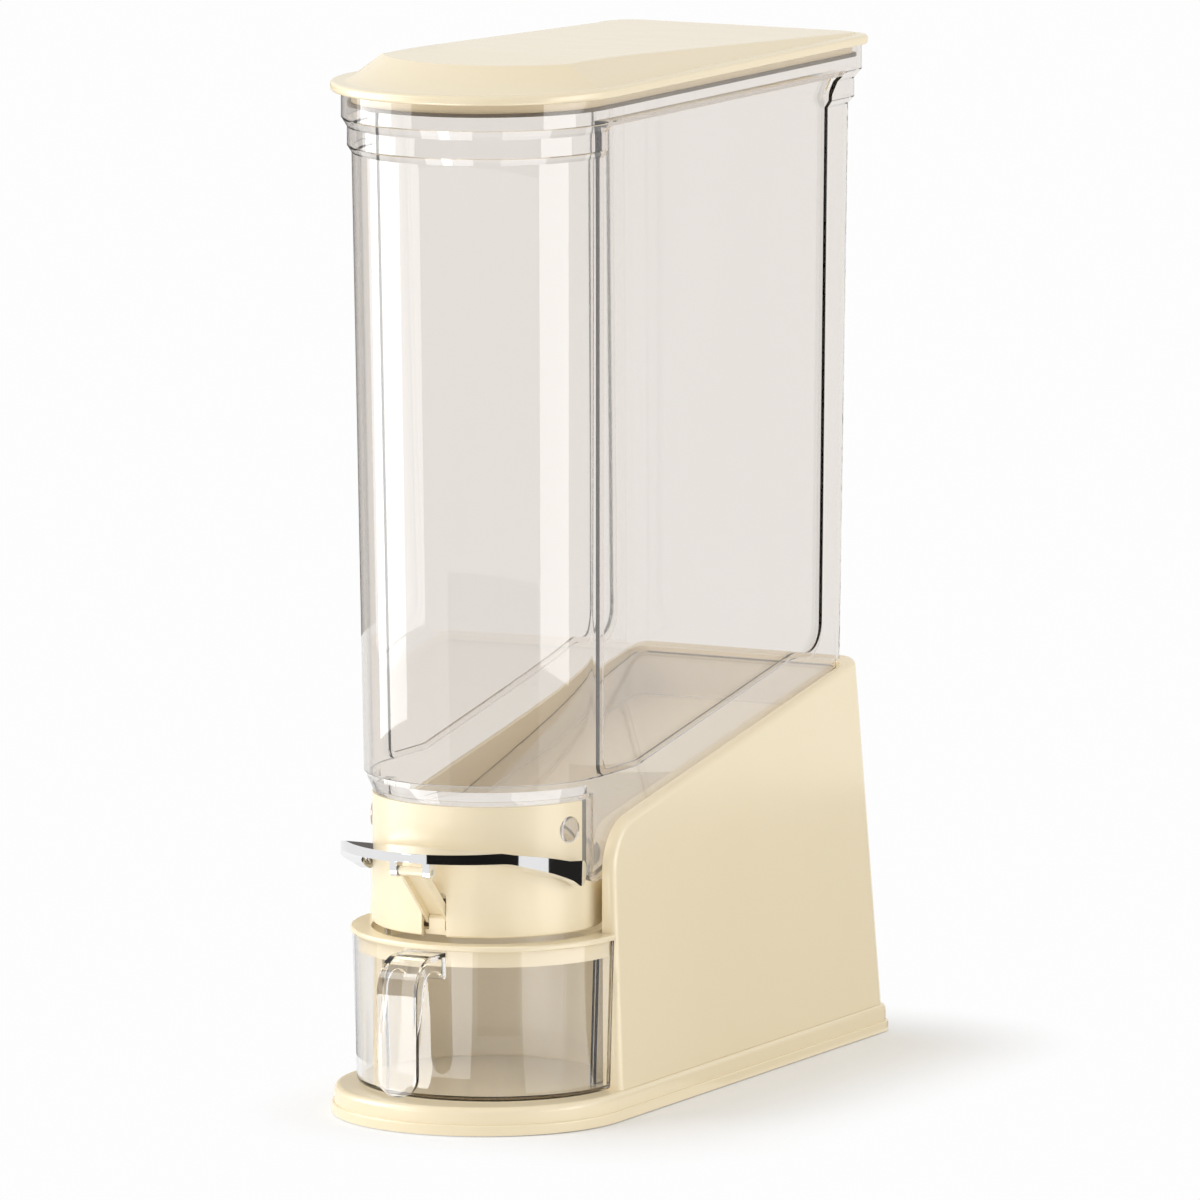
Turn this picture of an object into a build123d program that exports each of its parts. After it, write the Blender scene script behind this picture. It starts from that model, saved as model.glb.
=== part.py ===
from build123d import *
import os
from math import cos, pi, radians, sin, sqrt, tan

# Rice dispenser: a clear tall container with a cream lid stands in a cream stand.
# A spring-loaded lever under the container opens a gate above a clear measuring cup.
# X runs across the width, -Y is the front with the cup, +Z is up, z = 0 is the table.
# While modelling, y = 0 is the centre of the stand's round front end.
# The widths follow from the container's foot, and the heights from the cup.

# Clearances
SEAT_GAP = 0.3          # between pieces that rest on or lift off each other
RUN_GAP = 0.06          # radial, between a pin and the piece that turns on it
HOLD_GAP = 0.04         # radial, between a pin or screw and the piece that holds it
SIDE_GAP = 0.4          # beside a link or knuckle between its lugs

# Rubber feet
FOOT_RADIUS = 8.0
FOOT_THICKNESS = 1.8
FOOT_STAND_PROUD = 0.5
FOOT_POST_WALL = 2.4
FOOT_EDGE_ROUND = 0.4

# Heights from the table up to the seam under the container
PLINTH_HEIGHT = 13.3
PLINTH_TOP = FOOT_STAND_PROUD + PLINTH_HEIGHT
CUP_BOTTOM = PLINTH_TOP + SEAT_GAP
CUP_HEIGHT = 72.6
CUP_TOP = CUP_BOTTOM + CUP_HEIGHT
RING_THICKNESS = 2.8
CUP_HEADROOM = 2.5
COLLAR_BOTTOM = CUP_TOP + RING_THICKNESS + CUP_HEADROOM
COLLAR_HEIGHT = 62.9
COLLAR_TOP = COLLAR_BOTTOM + COLLAR_HEIGHT
SEAM_ABOVE_COLLAR = 10.3
BODY_LOW_Z = COLLAR_TOP + SEAM_ABOVE_COLLAR

# Clear container
WALL = 2.5
BODY_LOW_HALF = 59.5
BODY_LOW_NOSE = 4.7
BODY_LOW_REAR = 266.7
BODY_SIDE_LEAN = 3.0
BODY_REAR_LEAN = 2.8
BODY_TOP_HALF = BODY_LOW_HALF + BODY_SIDE_LEAN
BODY_TOP_NOSE = 0.0
BODY_TOP_REAR = BODY_LOW_REAR + BODY_REAR_LEAN
BODY_CORNER = 10.0
BODY_HEIGHT = 297.4
SHOULDER_Z = BODY_LOW_Z + BODY_HEIGHT
NECK_STEP = 2.2
NECK_REAR_STEP = 1.54
SHOULDER_RISE = 3.4
NECK_HEIGHT = 9.0
NECK_LOW_Z = SHOULDER_Z + SHOULDER_RISE
NECK_TOP_Z = NECK_LOW_Z + NECK_HEIGHT
RIM_STEP = 5.0
RIM_REAR_STEP = 3.4
RIM_RISE = 4.5
RIM_HEIGHT = 12.2
RIM_LOW_Z = NECK_TOP_Z + RIM_RISE
RIM_TOP_Z = RIM_LOW_Z + RIM_HEIGHT
PANEL_DEPTH = 1.8
PANEL_TOP_RISE = 2.5
PANEL_TOP_Z = NECK_TOP_Z + PANEL_TOP_RISE
PANEL_FRONT_TOP = 4.0
PANEL_FRONT_LOW = 10.0
PANEL_REAR_MARGIN = 27.2
PANEL_REAR = BODY_LOW_REAR - PANEL_REAR_MARGIN
PANEL_ABOVE_SEAM = 2.6
PANEL_REAR_ROUND = 14.0
PANEL_REAR_FLARE = 9.0
PANEL_FRONT_ROUND = 5.0

# Seam between container and hopper, seen from the side
SEAM_RISE_START = 45.0
SEAM_FALL_RUN = 56.7
SEAM_PEAK_Y = BODY_LOW_REAR - SEAM_FALL_RUN
SEAM_PEAK = 30.4
SEAM_REAR = 22.6
SEAM_BEND = 40.0

# Clear hopper below the container
HOPPER_STEP = 1.5
HOPPER_HALF = BODY_LOW_HALF - HOPPER_STEP
HOPPER_REAR = BODY_LOW_REAR - HOPPER_STEP
HOPPER_CORNER = 8.0
HOPPER_NOSE_DROP = 2.8
HOPPER_NOSE_TUCK = 3.0
SKIRT_ROUND = 8.0

# Linkage pivots, seen from the side as (y, z); its two arms are parallel
COLLAR_STEP = 2.8
COLLAR_SET_BACK = 0.6
COLLAR_Y = BODY_LOW_NOSE - COLLAR_SET_BACK
COLLAR_RADIUS = HOPPER_HALF - COLLAR_STEP
COLLAR_FRONT = COLLAR_Y - COLLAR_RADIUS
PIVOT_BEHIND, PIVOT_RISE = 38.6, 29.5
LINK_TOP_AHEAD, LINK_TOP_RISE = 20.9, 34.5
LINK_FOOT_BEHIND, LINK_FOOT_RISE = 6.1, 7.8
LEVER_PIVOT = (COLLAR_FRONT + PIVOT_BEHIND, COLLAR_BOTTOM + PIVOT_RISE)
LINK_TOP = (COLLAR_FRONT - LINK_TOP_AHEAD, COLLAR_BOTTOM + LINK_TOP_RISE)
LINK_FOOT = (COLLAR_FRONT + LINK_FOOT_BEHIND, COLLAR_BOTTOM + LINK_FOOT_RISE)
LEVER_ARM = (LINK_TOP[0] - LEVER_PIVOT[0], LINK_TOP[1] - LEVER_PIVOT[1])
GATE_HINGE = (LINK_FOOT[0] - LEVER_ARM[0], LINK_FOOT[1] - LEVER_ARM[1])

# Lever
LEVER_REACH_AHEAD = 27.3
LEVER_FRONT = COLLAR_FRONT - LEVER_REACH_AHEAD
LEVER_WIDEST_STEP, LEVER_WIDEST_BACK = 4.4, 57.4
LEVER_WIDEST = (COLLAR_RADIUS + LEVER_WIDEST_STEP, LEVER_FRONT + LEVER_WIDEST_BACK)
LEVER_HIP_STEP = 0.3
LEVER_BAR_DEPTH = 17.4
LEVER_RIDGE = LEVER_FRONT + LEVER_BAR_DEPTH
LEVER_ARM_WIDTH = 3.4
LEVER_FOOT_RADIUS = 6.2
LEVER_FOOT_END = 2.0
LEVER_OVER = ((-12.0, 7.4, 12.0), (-28.0, 11.0, 20.0), (-44.0, 13.9, 20.0))
LEVER_UNDER = ((-46.0, 9.8, 20.0), (-24.0, 2.9, 20.0), (-9.0, -2.4, 8.0))
LEVER_RIDGE_RISE = 15.0
LEVER_LIP_TOP = 14.4
LEVER_LIP_LOW = 9.9
LEVER_RIDGE_ROUND = 6.0
LEVER_LIP_ROUND = 0.6
HEEL_STEP = 1.0
PIN_COVER = 1.2
PIN_END_GAP = 0.3
LUG_INNER = 7.0
LUG_THICKNESS = 3.6
LUG_RADIUS = 3.1
LUG_RISE = 7.0
PIVOT_PIN_RADIUS = 2.0
PIVOT_SHOULDER_RADIUS = 3.6
LINK_PIN_RADIUS = 1.25

# Dispensing collar, and the front of the hopper's skirts just behind the lever's feet
SKIRT_CLEARANCE = 2.8
SKIRT_FRONT = LEVER_PIVOT[0] + LEVER_FOOT_RADIUS + SKIRT_CLEARANCE
COLLAR_WALL = 2.2
COLLAR_BORE = COLLAR_RADIUS - COLLAR_WALL
COLLAR_REAR_HEIGHT = 23.8
COLLAR_REAR_TOP = COLLAR_BOTTOM + COLLAR_REAR_HEIGHT
COLLAR_TALL_LAP = 2.7
COLLAR_TALL_END = SKIRT_FRONT + COLLAR_TALL_LAP
COLLAR_TOP_ROUND = 5.0
COLLAR_EDGE_ROUND = 1.0
SLOT_HALF = 6.6
SLOT_HEIGHT = 21.2
SLOT_TOP = COLLAR_BOTTOM + SLOT_HEIGHT
LEDGE_WIDTH = 3.0
LEDGE_RISE = 10.0
LEDGE_Z = COLLAR_BOTTOM + LEDGE_RISE

# The hopper's outlet, its floor and its studs
OUTLET_RADIUS = COLLAR_BORE - SEAT_GAP
OUTLET_BORE = OUTLET_RADIUS - WALL
CHUTE_RIM_HEIGHT = 4.7
GASKET_LOW = LEDGE_Z + CHUTE_RIM_HEIGHT
GASKET_HEIGHT = 3.3
OUTLET_BOTTOM = GASKET_LOW + GASKET_HEIGHT
FLOOR_SLOPE = 14.2
FLOOR_RISE = 9.6
FLOOR_AT_COLLAR_AXIS = OUTLET_BOTTOM + FLOOR_RISE
STUD_RADIUS = 6.4
STUD_ANGLE = 17.0
STUD_DROP = 13.1
STUD_Z = COLLAR_TOP - STUD_DROP
STUD_PROUD = 0.9
STUD_EDGE = 0.8

# Link between lever and gate
LINK_HALF = LUG_INNER - 2 * SIDE_GAP
LINK_WEB = 1.6
LINK_FLANGE = 1.5
LINK_DEPTH = 2.2
LINK_END_RADIUS = 2.4
FOOT_PIN_RADIUS = 1.0

# Gate and chute
SPOUT_BORE = 24.5
SPOUT_WALL = 1.8
FUNNEL_FLANGE = 2.2
FUNNEL_LAP = 1.0
FUNNEL_TOP = OUTLET_BOTTOM - FUNNEL_LAP
GATE_MARGIN = 1.2
GATE_RADIUS = SPOUT_BORE + SPOUT_WALL + GATE_MARGIN
GATE_THICKNESS = 2.2
GATE_LIFT = 0.5
GATE_BOTTOM = COLLAR_BOTTOM + GATE_LIFT
GATE_TOP = GATE_BOTTOM + GATE_THICKNESS
GATE_NECK = 2.0
SPOUT_Y = LINK_FOOT[0] + GATE_NECK + GATE_RADIUS
SEAL_THICKNESS = 1.7
SEAL_BAND = 3.2
SEAL_MARGIN = 0.8
SPOUT_BOTTOM = GATE_TOP + SEAL_THICKNESS + SEAT_GAP
SPOUT_LENGTH = 4.0
HINGE_EAR_RADIUS = 2.3
HINGE_EAR_THICKNESS = 3.0
HINGE_HALF = 9.6
HINGE_PIN_RADIUS = 1.0
SPRING_HALF = 3.6
SPRING_WIRE = 0.7
SPRING_PLAY = 0.25
SPRING_TURNS = 5
SPRING_ROOM = 3.4

# Stand housing
NEST_SIDE_GAP = 1.8
NEST_REAR_GAP = 1.2
NEST_HALF = HOPPER_HALF + NEST_SIDE_GAP
NEST_REAR = HOPPER_REAR + NEST_REAR_GAP
NEST_CORNER = 9.0
NEST_DEPTH = 25.0
DECK_THICKNESS = 3.0
HOUSING_FRONT = 7.6
HOUSING_BASE_SIDE = 10.2
HOUSING_BASE_BACK = 27.6
HOUSING_BASE_HALF = NEST_HALF + HOUSING_BASE_SIDE
HOUSING_BASE_REAR = NEST_REAR + HOUSING_BASE_BACK
HOUSING_BASE_CORNER = 11.5
HOUSING_DRAFT = 2.07
HOUSING_REAR_DRAFT = 5.5
HOUSING_SKIN = 3.0
BAY_CHEEK = 10.0
HOUSING_SLOPE = 10.25
HOUSING_SLOPE_DROP = 16.3
HOUSING_SLOPE_START = COLLAR_TOP - HOUSING_SLOPE_DROP
HOUSING_FRONT_ROUND = 26.0
HOUSING_EDGE_ROUND = 3.4

# Plinth under the stand
PLINTH_SIDE_STEP = 3.0
PLINTH_REAR_STEP = 2.5
PLINTH_HALF = HOUSING_BASE_HALF + PLINTH_SIDE_STEP
PLINTH_REAR = HOUSING_BASE_REAR + PLINTH_REAR_STEP
PLINTH_CORNER = 12.0
PLINTH_LIP_HEIGHT = 5.0
PLINTH_LIP_STEP = 1.2
PLINTH_LIP_ROUND = 0.7
PLINTH_WALL = 2.6
PLINTH_TOP_ROUND = 2.8
PLINTH_RIB = 2.0
PLINTH_RIB_RAISE = 1.5
PLINTH_BAYS = 3
FOOT_SIDE_INSET = 23.0
FOOT_FRONT_INSET = 41.0
FOOT_REAR_INSET = 30.5
FOOT_SIDE = PLINTH_HALF - FOOT_SIDE_INSET
FOOT_FRONT_Y = FOOT_FRONT_INSET - PLINTH_HALF
FOOT_REAR_Y = PLINTH_REAR - FOOT_REAR_INSET

# Screws between plinth and housing
SCREW_SIDE_INSET = 6.4
SCREW_FRONT_INSET = 10.4
SCREW_REAR_INSET = 32.0
SCREW_SIDE = HOUSING_BASE_HALF - SCREW_SIDE_INSET
SCREW_FRONT_Y = HOUSING_FRONT + SCREW_FRONT_INSET
SCREW_REAR_Y = HOUSING_BASE_REAR - SCREW_REAR_INSET
SCREW_SHANK = 1.75
SCREW_LENGTH = 16.0
SCREW_HEAD = 3.5
SCREW_HEAD_HEIGHT = 2.2
SCREW_HEAD_ROUND = 0.8
SCREW_PLAY = 0.5
SCREW_CROSS = 4.4
SCREW_CROSS_WIDTH = 1.0
SCREW_CROSS_DEPTH = 1.0
SCREW_BOSS = 4.6
SCREW_BOSS_HEIGHT = 22.0
SCREW_POST = 5.9
SCREW_SINK_DEPTH = 8.0

# Measuring cup
CUP_Y = HOUSING_FRONT - SIDE_GAP
CUP_BAY_GAP = 1.2
CUP_STEP = 7.9
CUP_REAR_RADIUS = NEST_HALF - CUP_BAY_GAP
CUP_FRONT_RADIUS = CUP_REAR_RADIUS + CUP_STEP
CUP_DRAFT = 1.7
CUP_WALL = 2.2
CUP_FLOOR = 2.6
CUP_FOOT_ROUND = 2.4
RING_OVERHANG = 0.8
RING_LEDGE = 2.7
RING_BORE = CUP_REAR_RADIUS - RING_LEDGE
RING_SKIRT_DEPTH = 7.6
RING_SKIRT_WALL = 1.6
RING_EDGE_ROUND = 0.9

# Cup handle
HANDLE_HALF = 10.5
HANDLE_REACH = 28.9
HANDLE_FRONT = CUP_Y - CUP_FRONT_RADIUS - HANDLE_REACH
HANDLE_WEB = 2.8
HANDLE_RIB = 2.2
HANDLE_RIB_DEPTH = 7.5
HANDLE_DROP = 0.6
HANDLE_TOP = CUP_TOP - HANDLE_DROP
HANDLE_ROOT = 12.5
HANDLE_ROOT_REACH = 6.0
HANDLE_PAD = 1.6
HANDLE_SEAM = 0.02      # keeps the handle's root just off the cup's wall
HANDLE_GUSSET = 7.0
HANDLE_RIB_RUNOUT = 12.0
HANDLE_BEND = 17.0
HANDLE_HEIGHT = 65.7
HANDLE_RIB_HEIGHT = 24.1
HANDLE_BOTTOM = HANDLE_TOP - HANDLE_HEIGHT
HANDLE_RIB_END = HANDLE_TOP - HANDLE_RIB_HEIGHT

# Lid
LID_BOTTOM = RIM_TOP_Z + SEAT_GAP
LID_SIDE_LAP = 5.1
LID_REAR_LAP = 1.1
LID_HALF = BODY_TOP_HALF + RIM_STEP + LID_SIDE_LAP
LID_NOSE = BODY_TOP_NOSE
LID_REAR = BODY_TOP_REAR + RIM_REAR_STEP + LID_REAR_LAP
LID_CORNER = 14.0
LIP_HEIGHT = 4.6
LIP_ROUND = 1.6
LIP_LEDGE = 2.0
DOME_SIDE_LEDGE = 7.0
DOME_HALF = LID_HALF - DOME_SIDE_LEDGE
DOME_BEVEL = 1.42
DOME_HEIGHT = 10.8
DOME_REAR_HEIGHT = 0.4
DOME_FALL_START = 21.0
DOME_FALL_ROUND = 1500.0
DOME_FOOT_INSET, DOME_FOOT_NOSE = 6.2, 1.0
DOME_TOP_INSET, DOME_TOP_NOSE = 12.9, 24.7
DOME_FOOT_RADIUS = LID_HALF - DOME_FOOT_INSET
DOME_FOOT_FRONT = DOME_FOOT_NOSE - DOME_FOOT_RADIUS
DOME_TOP_RADIUS = LID_HALF - DOME_TOP_INSET
DOME_TOP_FRONT = DOME_TOP_NOSE - DOME_TOP_RADIUS
DOME_FLARE = 1.36
DOME_FLARE_REACH = 1.1
DOME_FLARE_STEPS = 6
LID_WALL = 2.4
LINER_PLATE = 1.8
LINER_FLANGE = 3.5
LINER_LEDGE = 2.0
LINER_SKIRT = 6.4
LINER_WALL = 2.0
LINER_CORNER = 7.0
SEAL_PROUD = 2.0
LID_SEAL_HEIGHT = 1.6

ORIGIN_Y = (PLINTH_REAR + HANDLE_FRONT) / 2
FAR = 400.0             # past everything in the model
CUT = 1.0               # how far a cutting solid passes the face it cuts


def rounded_face(corners):
    """A flat face from corners (x, y, radius); radius 0 keeps a corner sharp."""
    spans, arcs = [], []
    for index, (x, y, radius) in enumerate(corners):
        here = Vector(x, y)
        back = (Vector(*corners[index - 1][:2]) - here).normalized()
        ahead = (Vector(*corners[(index + 1) % len(corners)][:2]) - here).normalized()
        if radius == 0:
            spans.append((here, here))
            continue
        half_turn = radians(back.get_angle(ahead)) / 2
        start = here + back * (radius / tan(half_turn))
        end = here + ahead * (radius / tan(half_turn))
        centre = here + (back + ahead).normalized() * (radius / sin(half_turn))
        middle = centre + (here - centre).normalized() * radius
        spans.append((start, end))
        arcs.append(ThreePointArc(start, middle, end))
    lines = [
        Line(spans[index - 1][1], spans[index][0])
        for index in range(len(spans))
        if (spans[index - 1][1] - spans[index][0]).length > 1e-6
    ]
    return make_face(lines + arcs)


def plan(half, nose_y, rear, corner, z):
    """Plan outline at height z: round front end, straight sides, rounded rear corners."""
    bend = corner * (1 - sin(pi / 4))
    sketch = make_face([
        ThreePointArc((-half, nose_y), (0, nose_y - half), (half, nose_y)),
        Line((half, nose_y), (half, rear - corner)),
        ThreePointArc((half, rear - corner), (half - bend, rear - bend), (half - corner, rear)),
        Line((half - corner, rear), (corner - half, rear)),
        ThreePointArc((corner - half, rear), (bend - half, rear - bend), (-half, rear - corner)),
        Line((-half, rear - corner), (-half, nose_y)),
    ])
    return Pos(0, 0, z) * sketch


def tower(sections):
    """Straight-walled solids stacked through plan sections (z, half, nose_y, rear, corner)."""
    faces = [plan(*section[1:], section[0]) for section in sections]
    levels = [loft([low, high], ruled=True) for low, high in zip(faces, faces[1:])]
    solid = levels[0]
    for level in levels[1:]:
        solid += level
    return solid


def inset(sections, by):
    """The same sections drawn in by a wall, keeping the nose centre."""
    return [
        (z, half - by, nose, rear - by, max(corner - by, 1.0)) for z, half, nose, rear, corner in sections
    ]


def side_slab(corners, half_width=FAR):
    """A solid across the whole width from corners (y, z, radius) seen from the side."""
    return extrude(Plane.YZ * rounded_face(corners), amount=half_width, both=True)


def x_rod(radius, x0, x1, centre):
    """A round bar along X between x0 and x1 about centre (y, z)."""
    return Pos((x0 + x1) / 2, centre[0], centre[1]) * Rot(0, 90, 0) * Cylinder(radius, abs(x1 - x0))


def z_disc(radius, z0, z1, y=0.0, x=0.0):
    """An upright cylinder between z0 and z1."""
    return Pos(x, y, (z0 + z1) / 2) * Cylinder(radius, z1 - z0)


def box(x0, x1, y0, y1, z0, z1):
    """A box between two corners."""
    return Pos((x0 + x1) / 2, (y0 + y1) / 2, (z0 + z1) / 2) * Box(x1 - x0, y1 - y0, z1 - z0)


def both_sides(solid):
    """A solid and its mirror image across the middle plane."""
    return solid + mirror(solid, about=Plane.YZ)


def screw_places():
    """Plan positions of the stand's screws."""
    middle = (SCREW_FRONT_Y + SCREW_REAR_Y) / 2
    return [(side * SCREW_SIDE, y) for side in (-1, 1) for y in (SCREW_FRONT_Y, middle, SCREW_REAR_Y)]


def foot_places():
    """Plan positions of the rubber feet."""
    return [(side * FOOT_SIDE, y) for side in (-1, 1) for y in (FOOT_FRONT_Y, FOOT_REAR_Y)]


def slope_z(y, below=0.0):
    """Height of the housing's sloped top edge at y, or of a line parallel to it below."""
    return HOUSING_SLOPE_START - below + y * tan(radians(HOUSING_SLOPE))


def floor_z(y):
    """Height of the hopper floor's top face at y."""
    return FLOOR_AT_COLLAR_AXIS + (y - COLLAR_Y) * tan(radians(FLOOR_SLOPE))


# Stand

def rib_places(front, rear):
    """Y of the plinth's cross ribs, which part its underside into equal bays."""
    return [front + (rear - front) * bay / PLINTH_BAYS for bay in range(1, PLINTH_BAYS)]


def plinth_block(step, height):
    """Solid in the plinth's outline, drawn in by a step, from the plinth's foot up."""
    half, rear, corner = PLINTH_HALF - step, PLINTH_REAR - step, PLINTH_CORNER - step
    return extrude(plan(half, 0, rear, corner, FOOT_STAND_PROUD), amount=height)


def base_plinth():
    """Low hollow plinth with a lip round its foot, ribs, screw posts and foot posts."""
    low, top = FOOT_STAND_PROUD, PLINTH_TOP
    lip = plinth_block(0, PLINTH_LIP_HEIGHT)
    lip = fillet(lip.edges().group_by(Axis.Z)[-1], PLINTH_LIP_ROUND)
    upper = plinth_block(PLINTH_LIP_STEP, PLINTH_HEIGHT)
    upper = fillet(upper.edges().group_by(Axis.Z)[-1], PLINTH_TOP_ROUND)
    wall = PLINTH_LIP_STEP + PLINTH_WALL
    plinth = lip + upper - plinth_block(wall, PLINTH_HEIGHT - PLINTH_WALL)
    side, rear = PLINTH_HALF - wall, PLINTH_REAR - wall
    rib_low = low + PLINTH_RIB_RAISE
    fillings = [box(-side, side, y, y + PLINTH_RIB, rib_low, top) for y in rib_places(-side, rear)]
    fillings.append(box(-PLINTH_RIB / 2, PLINTH_RIB / 2, -side, rear, rib_low, top))
    for x, y in foot_places():
        fillings.append(z_disc(FOOT_RADIUS + FOOT_POST_WALL, low, top, y, x))
    for x, y in screw_places():
        fillings.append(z_disc(SCREW_POST, rib_low, top, y, x))
    bounds = plinth_block(PLINTH_LIP_STEP + PLINTH_WALL / 2, PLINTH_HEIGHT - PLINTH_WALL / 2)
    for filling in fillings:
        plinth += filling & bounds
    for x, y in foot_places():
        plinth -= z_disc(FOOT_RADIUS + SEAT_GAP, low - CUT, FOOT_THICKNESS, y, x)
    for x, y in screw_places():
        plinth -= z_disc(SCREW_HEAD + SCREW_PLAY, low - CUT, low + SCREW_SINK_DEPTH, y, x)
        plinth -= z_disc(SCREW_SHANK + SEAT_GAP, low, top + CUT, y, x)
    return plinth


def rubber_feet():
    """Four flat pads let into the plinth's posts."""
    pad = z_disc(FOOT_RADIUS, 0, FOOT_THICKNESS)
    pad = fillet(pad.edges().group_by(Axis.Z)[0], FOOT_EDGE_ROUND)
    return [Pos(x, y, 0) * pad for x, y in foot_places()]


def housing_screws():
    """Six pan-head screws driven up through the plinth into the housing."""
    seat = FOOT_STAND_PROUD + SCREW_SINK_DEPTH
    head = z_disc(SCREW_HEAD, seat - SCREW_HEAD_HEIGHT, seat)
    head = fillet(head.edges().group_by(Axis.Z)[0], SCREW_HEAD_ROUND)
    low, high = seat - SCREW_HEAD_HEIGHT - CUT, seat - SCREW_HEAD_HEIGHT + SCREW_CROSS_DEPTH
    arm, side = SCREW_CROSS / 2, SCREW_CROSS_WIDTH / 2
    head -= box(-side, side, -arm, arm, low, high) + box(-arm, arm, -side, side, low, high)
    screw = head + z_disc(SCREW_SHANK, seat, seat + SCREW_LENGTH)
    return [Pos(x, y, 0) * screw for x, y in screw_places()]


def housing_section(z, wall=0.0):
    """Half width, rear and corner of the drafted housing at height z, drawn in by a wall."""
    rise = z - PLINTH_TOP
    half = HOUSING_BASE_HALF - rise * tan(radians(HOUSING_DRAFT)) - wall
    rear = HOUSING_BASE_REAR - rise * tan(radians(HOUSING_REAR_DRAFT)) - wall
    return half, rear, HOUSING_BASE_CORNER - wall


def housing_block(wall, z0, z1, front):
    """The drafted housing as a solid block, drawn in by a wall."""
    faces = []
    for z in (z0, z1):
        half, rear, corner = housing_section(z, wall)
        faces.append(Pos(0, 0, z) * rounded_face([
            (-half, front, 0), (half, front, 0), (half, rear, corner), (-half, rear, corner),
        ]))
    return loft(faces, ruled=True)


def stand_housing():
    """Sloped housing with a nest for the hopper and a round bay for the cup."""
    beyond = HOUSING_BASE_REAR + CUT
    block = housing_block(0, PLINTH_TOP, slope_z(beyond), HOUSING_FRONT)
    block &= side_slab([
        (HOUSING_FRONT, PLINTH_TOP, 0), (HOUSING_FRONT, slope_z(HOUSING_FRONT), HOUSING_FRONT_ROUND),
        (beyond, slope_z(beyond), 0), (beyond, PLINTH_TOP, 0),
    ])
    block = fillet(housing_rim_edges(block), HOUSING_EDGE_ROUND)
    housing = block - housing_nest() - cup_bay() - housing_hollow()
    boss_top = PLINTH_TOP + SCREW_BOSS_HEIGHT
    within = housing_block(HOUSING_SKIN / 2, PLINTH_TOP, boss_top, HOUSING_FRONT + HOUSING_SKIN / 2)
    screw_end = FOOT_STAND_PROUD + SCREW_SINK_DEPTH + SCREW_LENGTH
    for x, y in screw_places():
        housing += z_disc(SCREW_BOSS, PLINTH_TOP, boss_top, y, x) & within
        housing -= z_disc(SCREW_SHANK + HOLD_GAP, PLINTH_TOP - CUT, screw_end + CUT, y, x)
    return housing


def housing_nest():
    """Space in the housing for the hopper, above the sloped deck."""
    roof = slope_z(FAR)
    nest = extrude(plan(NEST_HALF, 0, NEST_REAR, NEST_CORNER, PLINTH_TOP), amount=roof)
    return nest & side_slab([
        (0, slope_z(0, NEST_DEPTH), 0), (FAR, slope_z(FAR, NEST_DEPTH), 0), (FAR, roof, 0), (0, roof, 0),
    ])


def cup_bay():
    """Space in the housing's front for the rear of the cup, open upwards into the nest."""
    bay = make_face([
        Line((-NEST_HALF, -CUT), (NEST_HALF, -CUT)),
        Line((NEST_HALF, -CUT), (NEST_HALF, CUP_Y)),
        ThreePointArc((NEST_HALF, CUP_Y), (0, CUP_Y + NEST_HALF), (-NEST_HALF, CUP_Y)),
        Line((-NEST_HALF, CUP_Y), (-NEST_HALF, -CUT)),
    ])
    return extrude(Pos(0, 0, PLINTH_TOP - CUT) * bay, amount=slope_z(FAR))


def housing_hollow():
    """Space under the deck and behind the bay, one skin inside the housing."""
    under, low_deck = PLINTH_TOP - CUT, NEST_DEPTH + DECK_THICKNESS
    behind, rear_roof = NEST_REAR + HOUSING_SKIN, 2 * HOUSING_SKIN
    hollow = housing_block(HOUSING_SKIN, under, slope_z(HOUSING_BASE_REAR), CUP_Y + BAY_CHEEK)
    hollow &= side_slab([
        (0, under, 0), (FAR, under, 0), (FAR, slope_z(FAR, rear_roof), 0),
        (behind, slope_z(behind, rear_roof), 0), (behind, slope_z(behind, low_deck), 0),
        (0, slope_z(0, low_deck), 0),
    ])
    return hollow - z_disc(NEST_HALF + HOUSING_SKIN, under, slope_z(FAR), CUP_Y)


def housing_rim_edges(block):
    """Outer edges of the housing's front, front bend and sloped top."""
    rims = []
    for edge in block.edges():
        middle, run = edge @ 0.5, edge % 0.5
        on_base = abs(middle.Z - PLINTH_TOP) < 0.1
        crosses = abs(middle.X) < CUT and middle.Y < HOUSING_BASE_REAR / 2
        rear_corner = middle.Y > HOUSING_BASE_REAR / 2 and abs(run.Z) > 0.9
        if not (on_base or crosses or rear_corner):
            rims.append(edge)
    return rims


# Container

def body_sections():
    """Outer plan sections of the container below the neck."""
    z_low = BODY_LOW_Z - CUT
    share = (z_low - BODY_LOW_Z) / (SHOULDER_Z - BODY_LOW_Z)

    def between(low, high):
        return low + (high - low) * share

    return [
        (z_low, between(BODY_LOW_HALF, BODY_TOP_HALF), between(BODY_LOW_NOSE, BODY_TOP_NOSE),
         between(BODY_LOW_REAR, BODY_TOP_REAR), BODY_CORNER),
        (SHOULDER_Z, BODY_TOP_HALF, BODY_TOP_NOSE, BODY_TOP_REAR, BODY_CORNER),
    ]


def neck_sections():
    """Outer plan sections of the neck and rim above the shoulder."""
    steps = [
        (SHOULDER_Z, 0, 0), (NECK_LOW_Z, NECK_STEP, NECK_REAR_STEP), (NECK_TOP_Z, NECK_STEP, NECK_REAR_STEP),
        (RIM_LOW_Z, RIM_STEP, RIM_REAR_STEP), (RIM_TOP_Z, RIM_STEP, RIM_REAR_STEP),
    ]
    return [
        (z, BODY_TOP_HALF + out, BODY_TOP_NOSE, BODY_TOP_REAR + back, BODY_CORNER - back / 2)
        for z, out, back in steps
    ]


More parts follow.
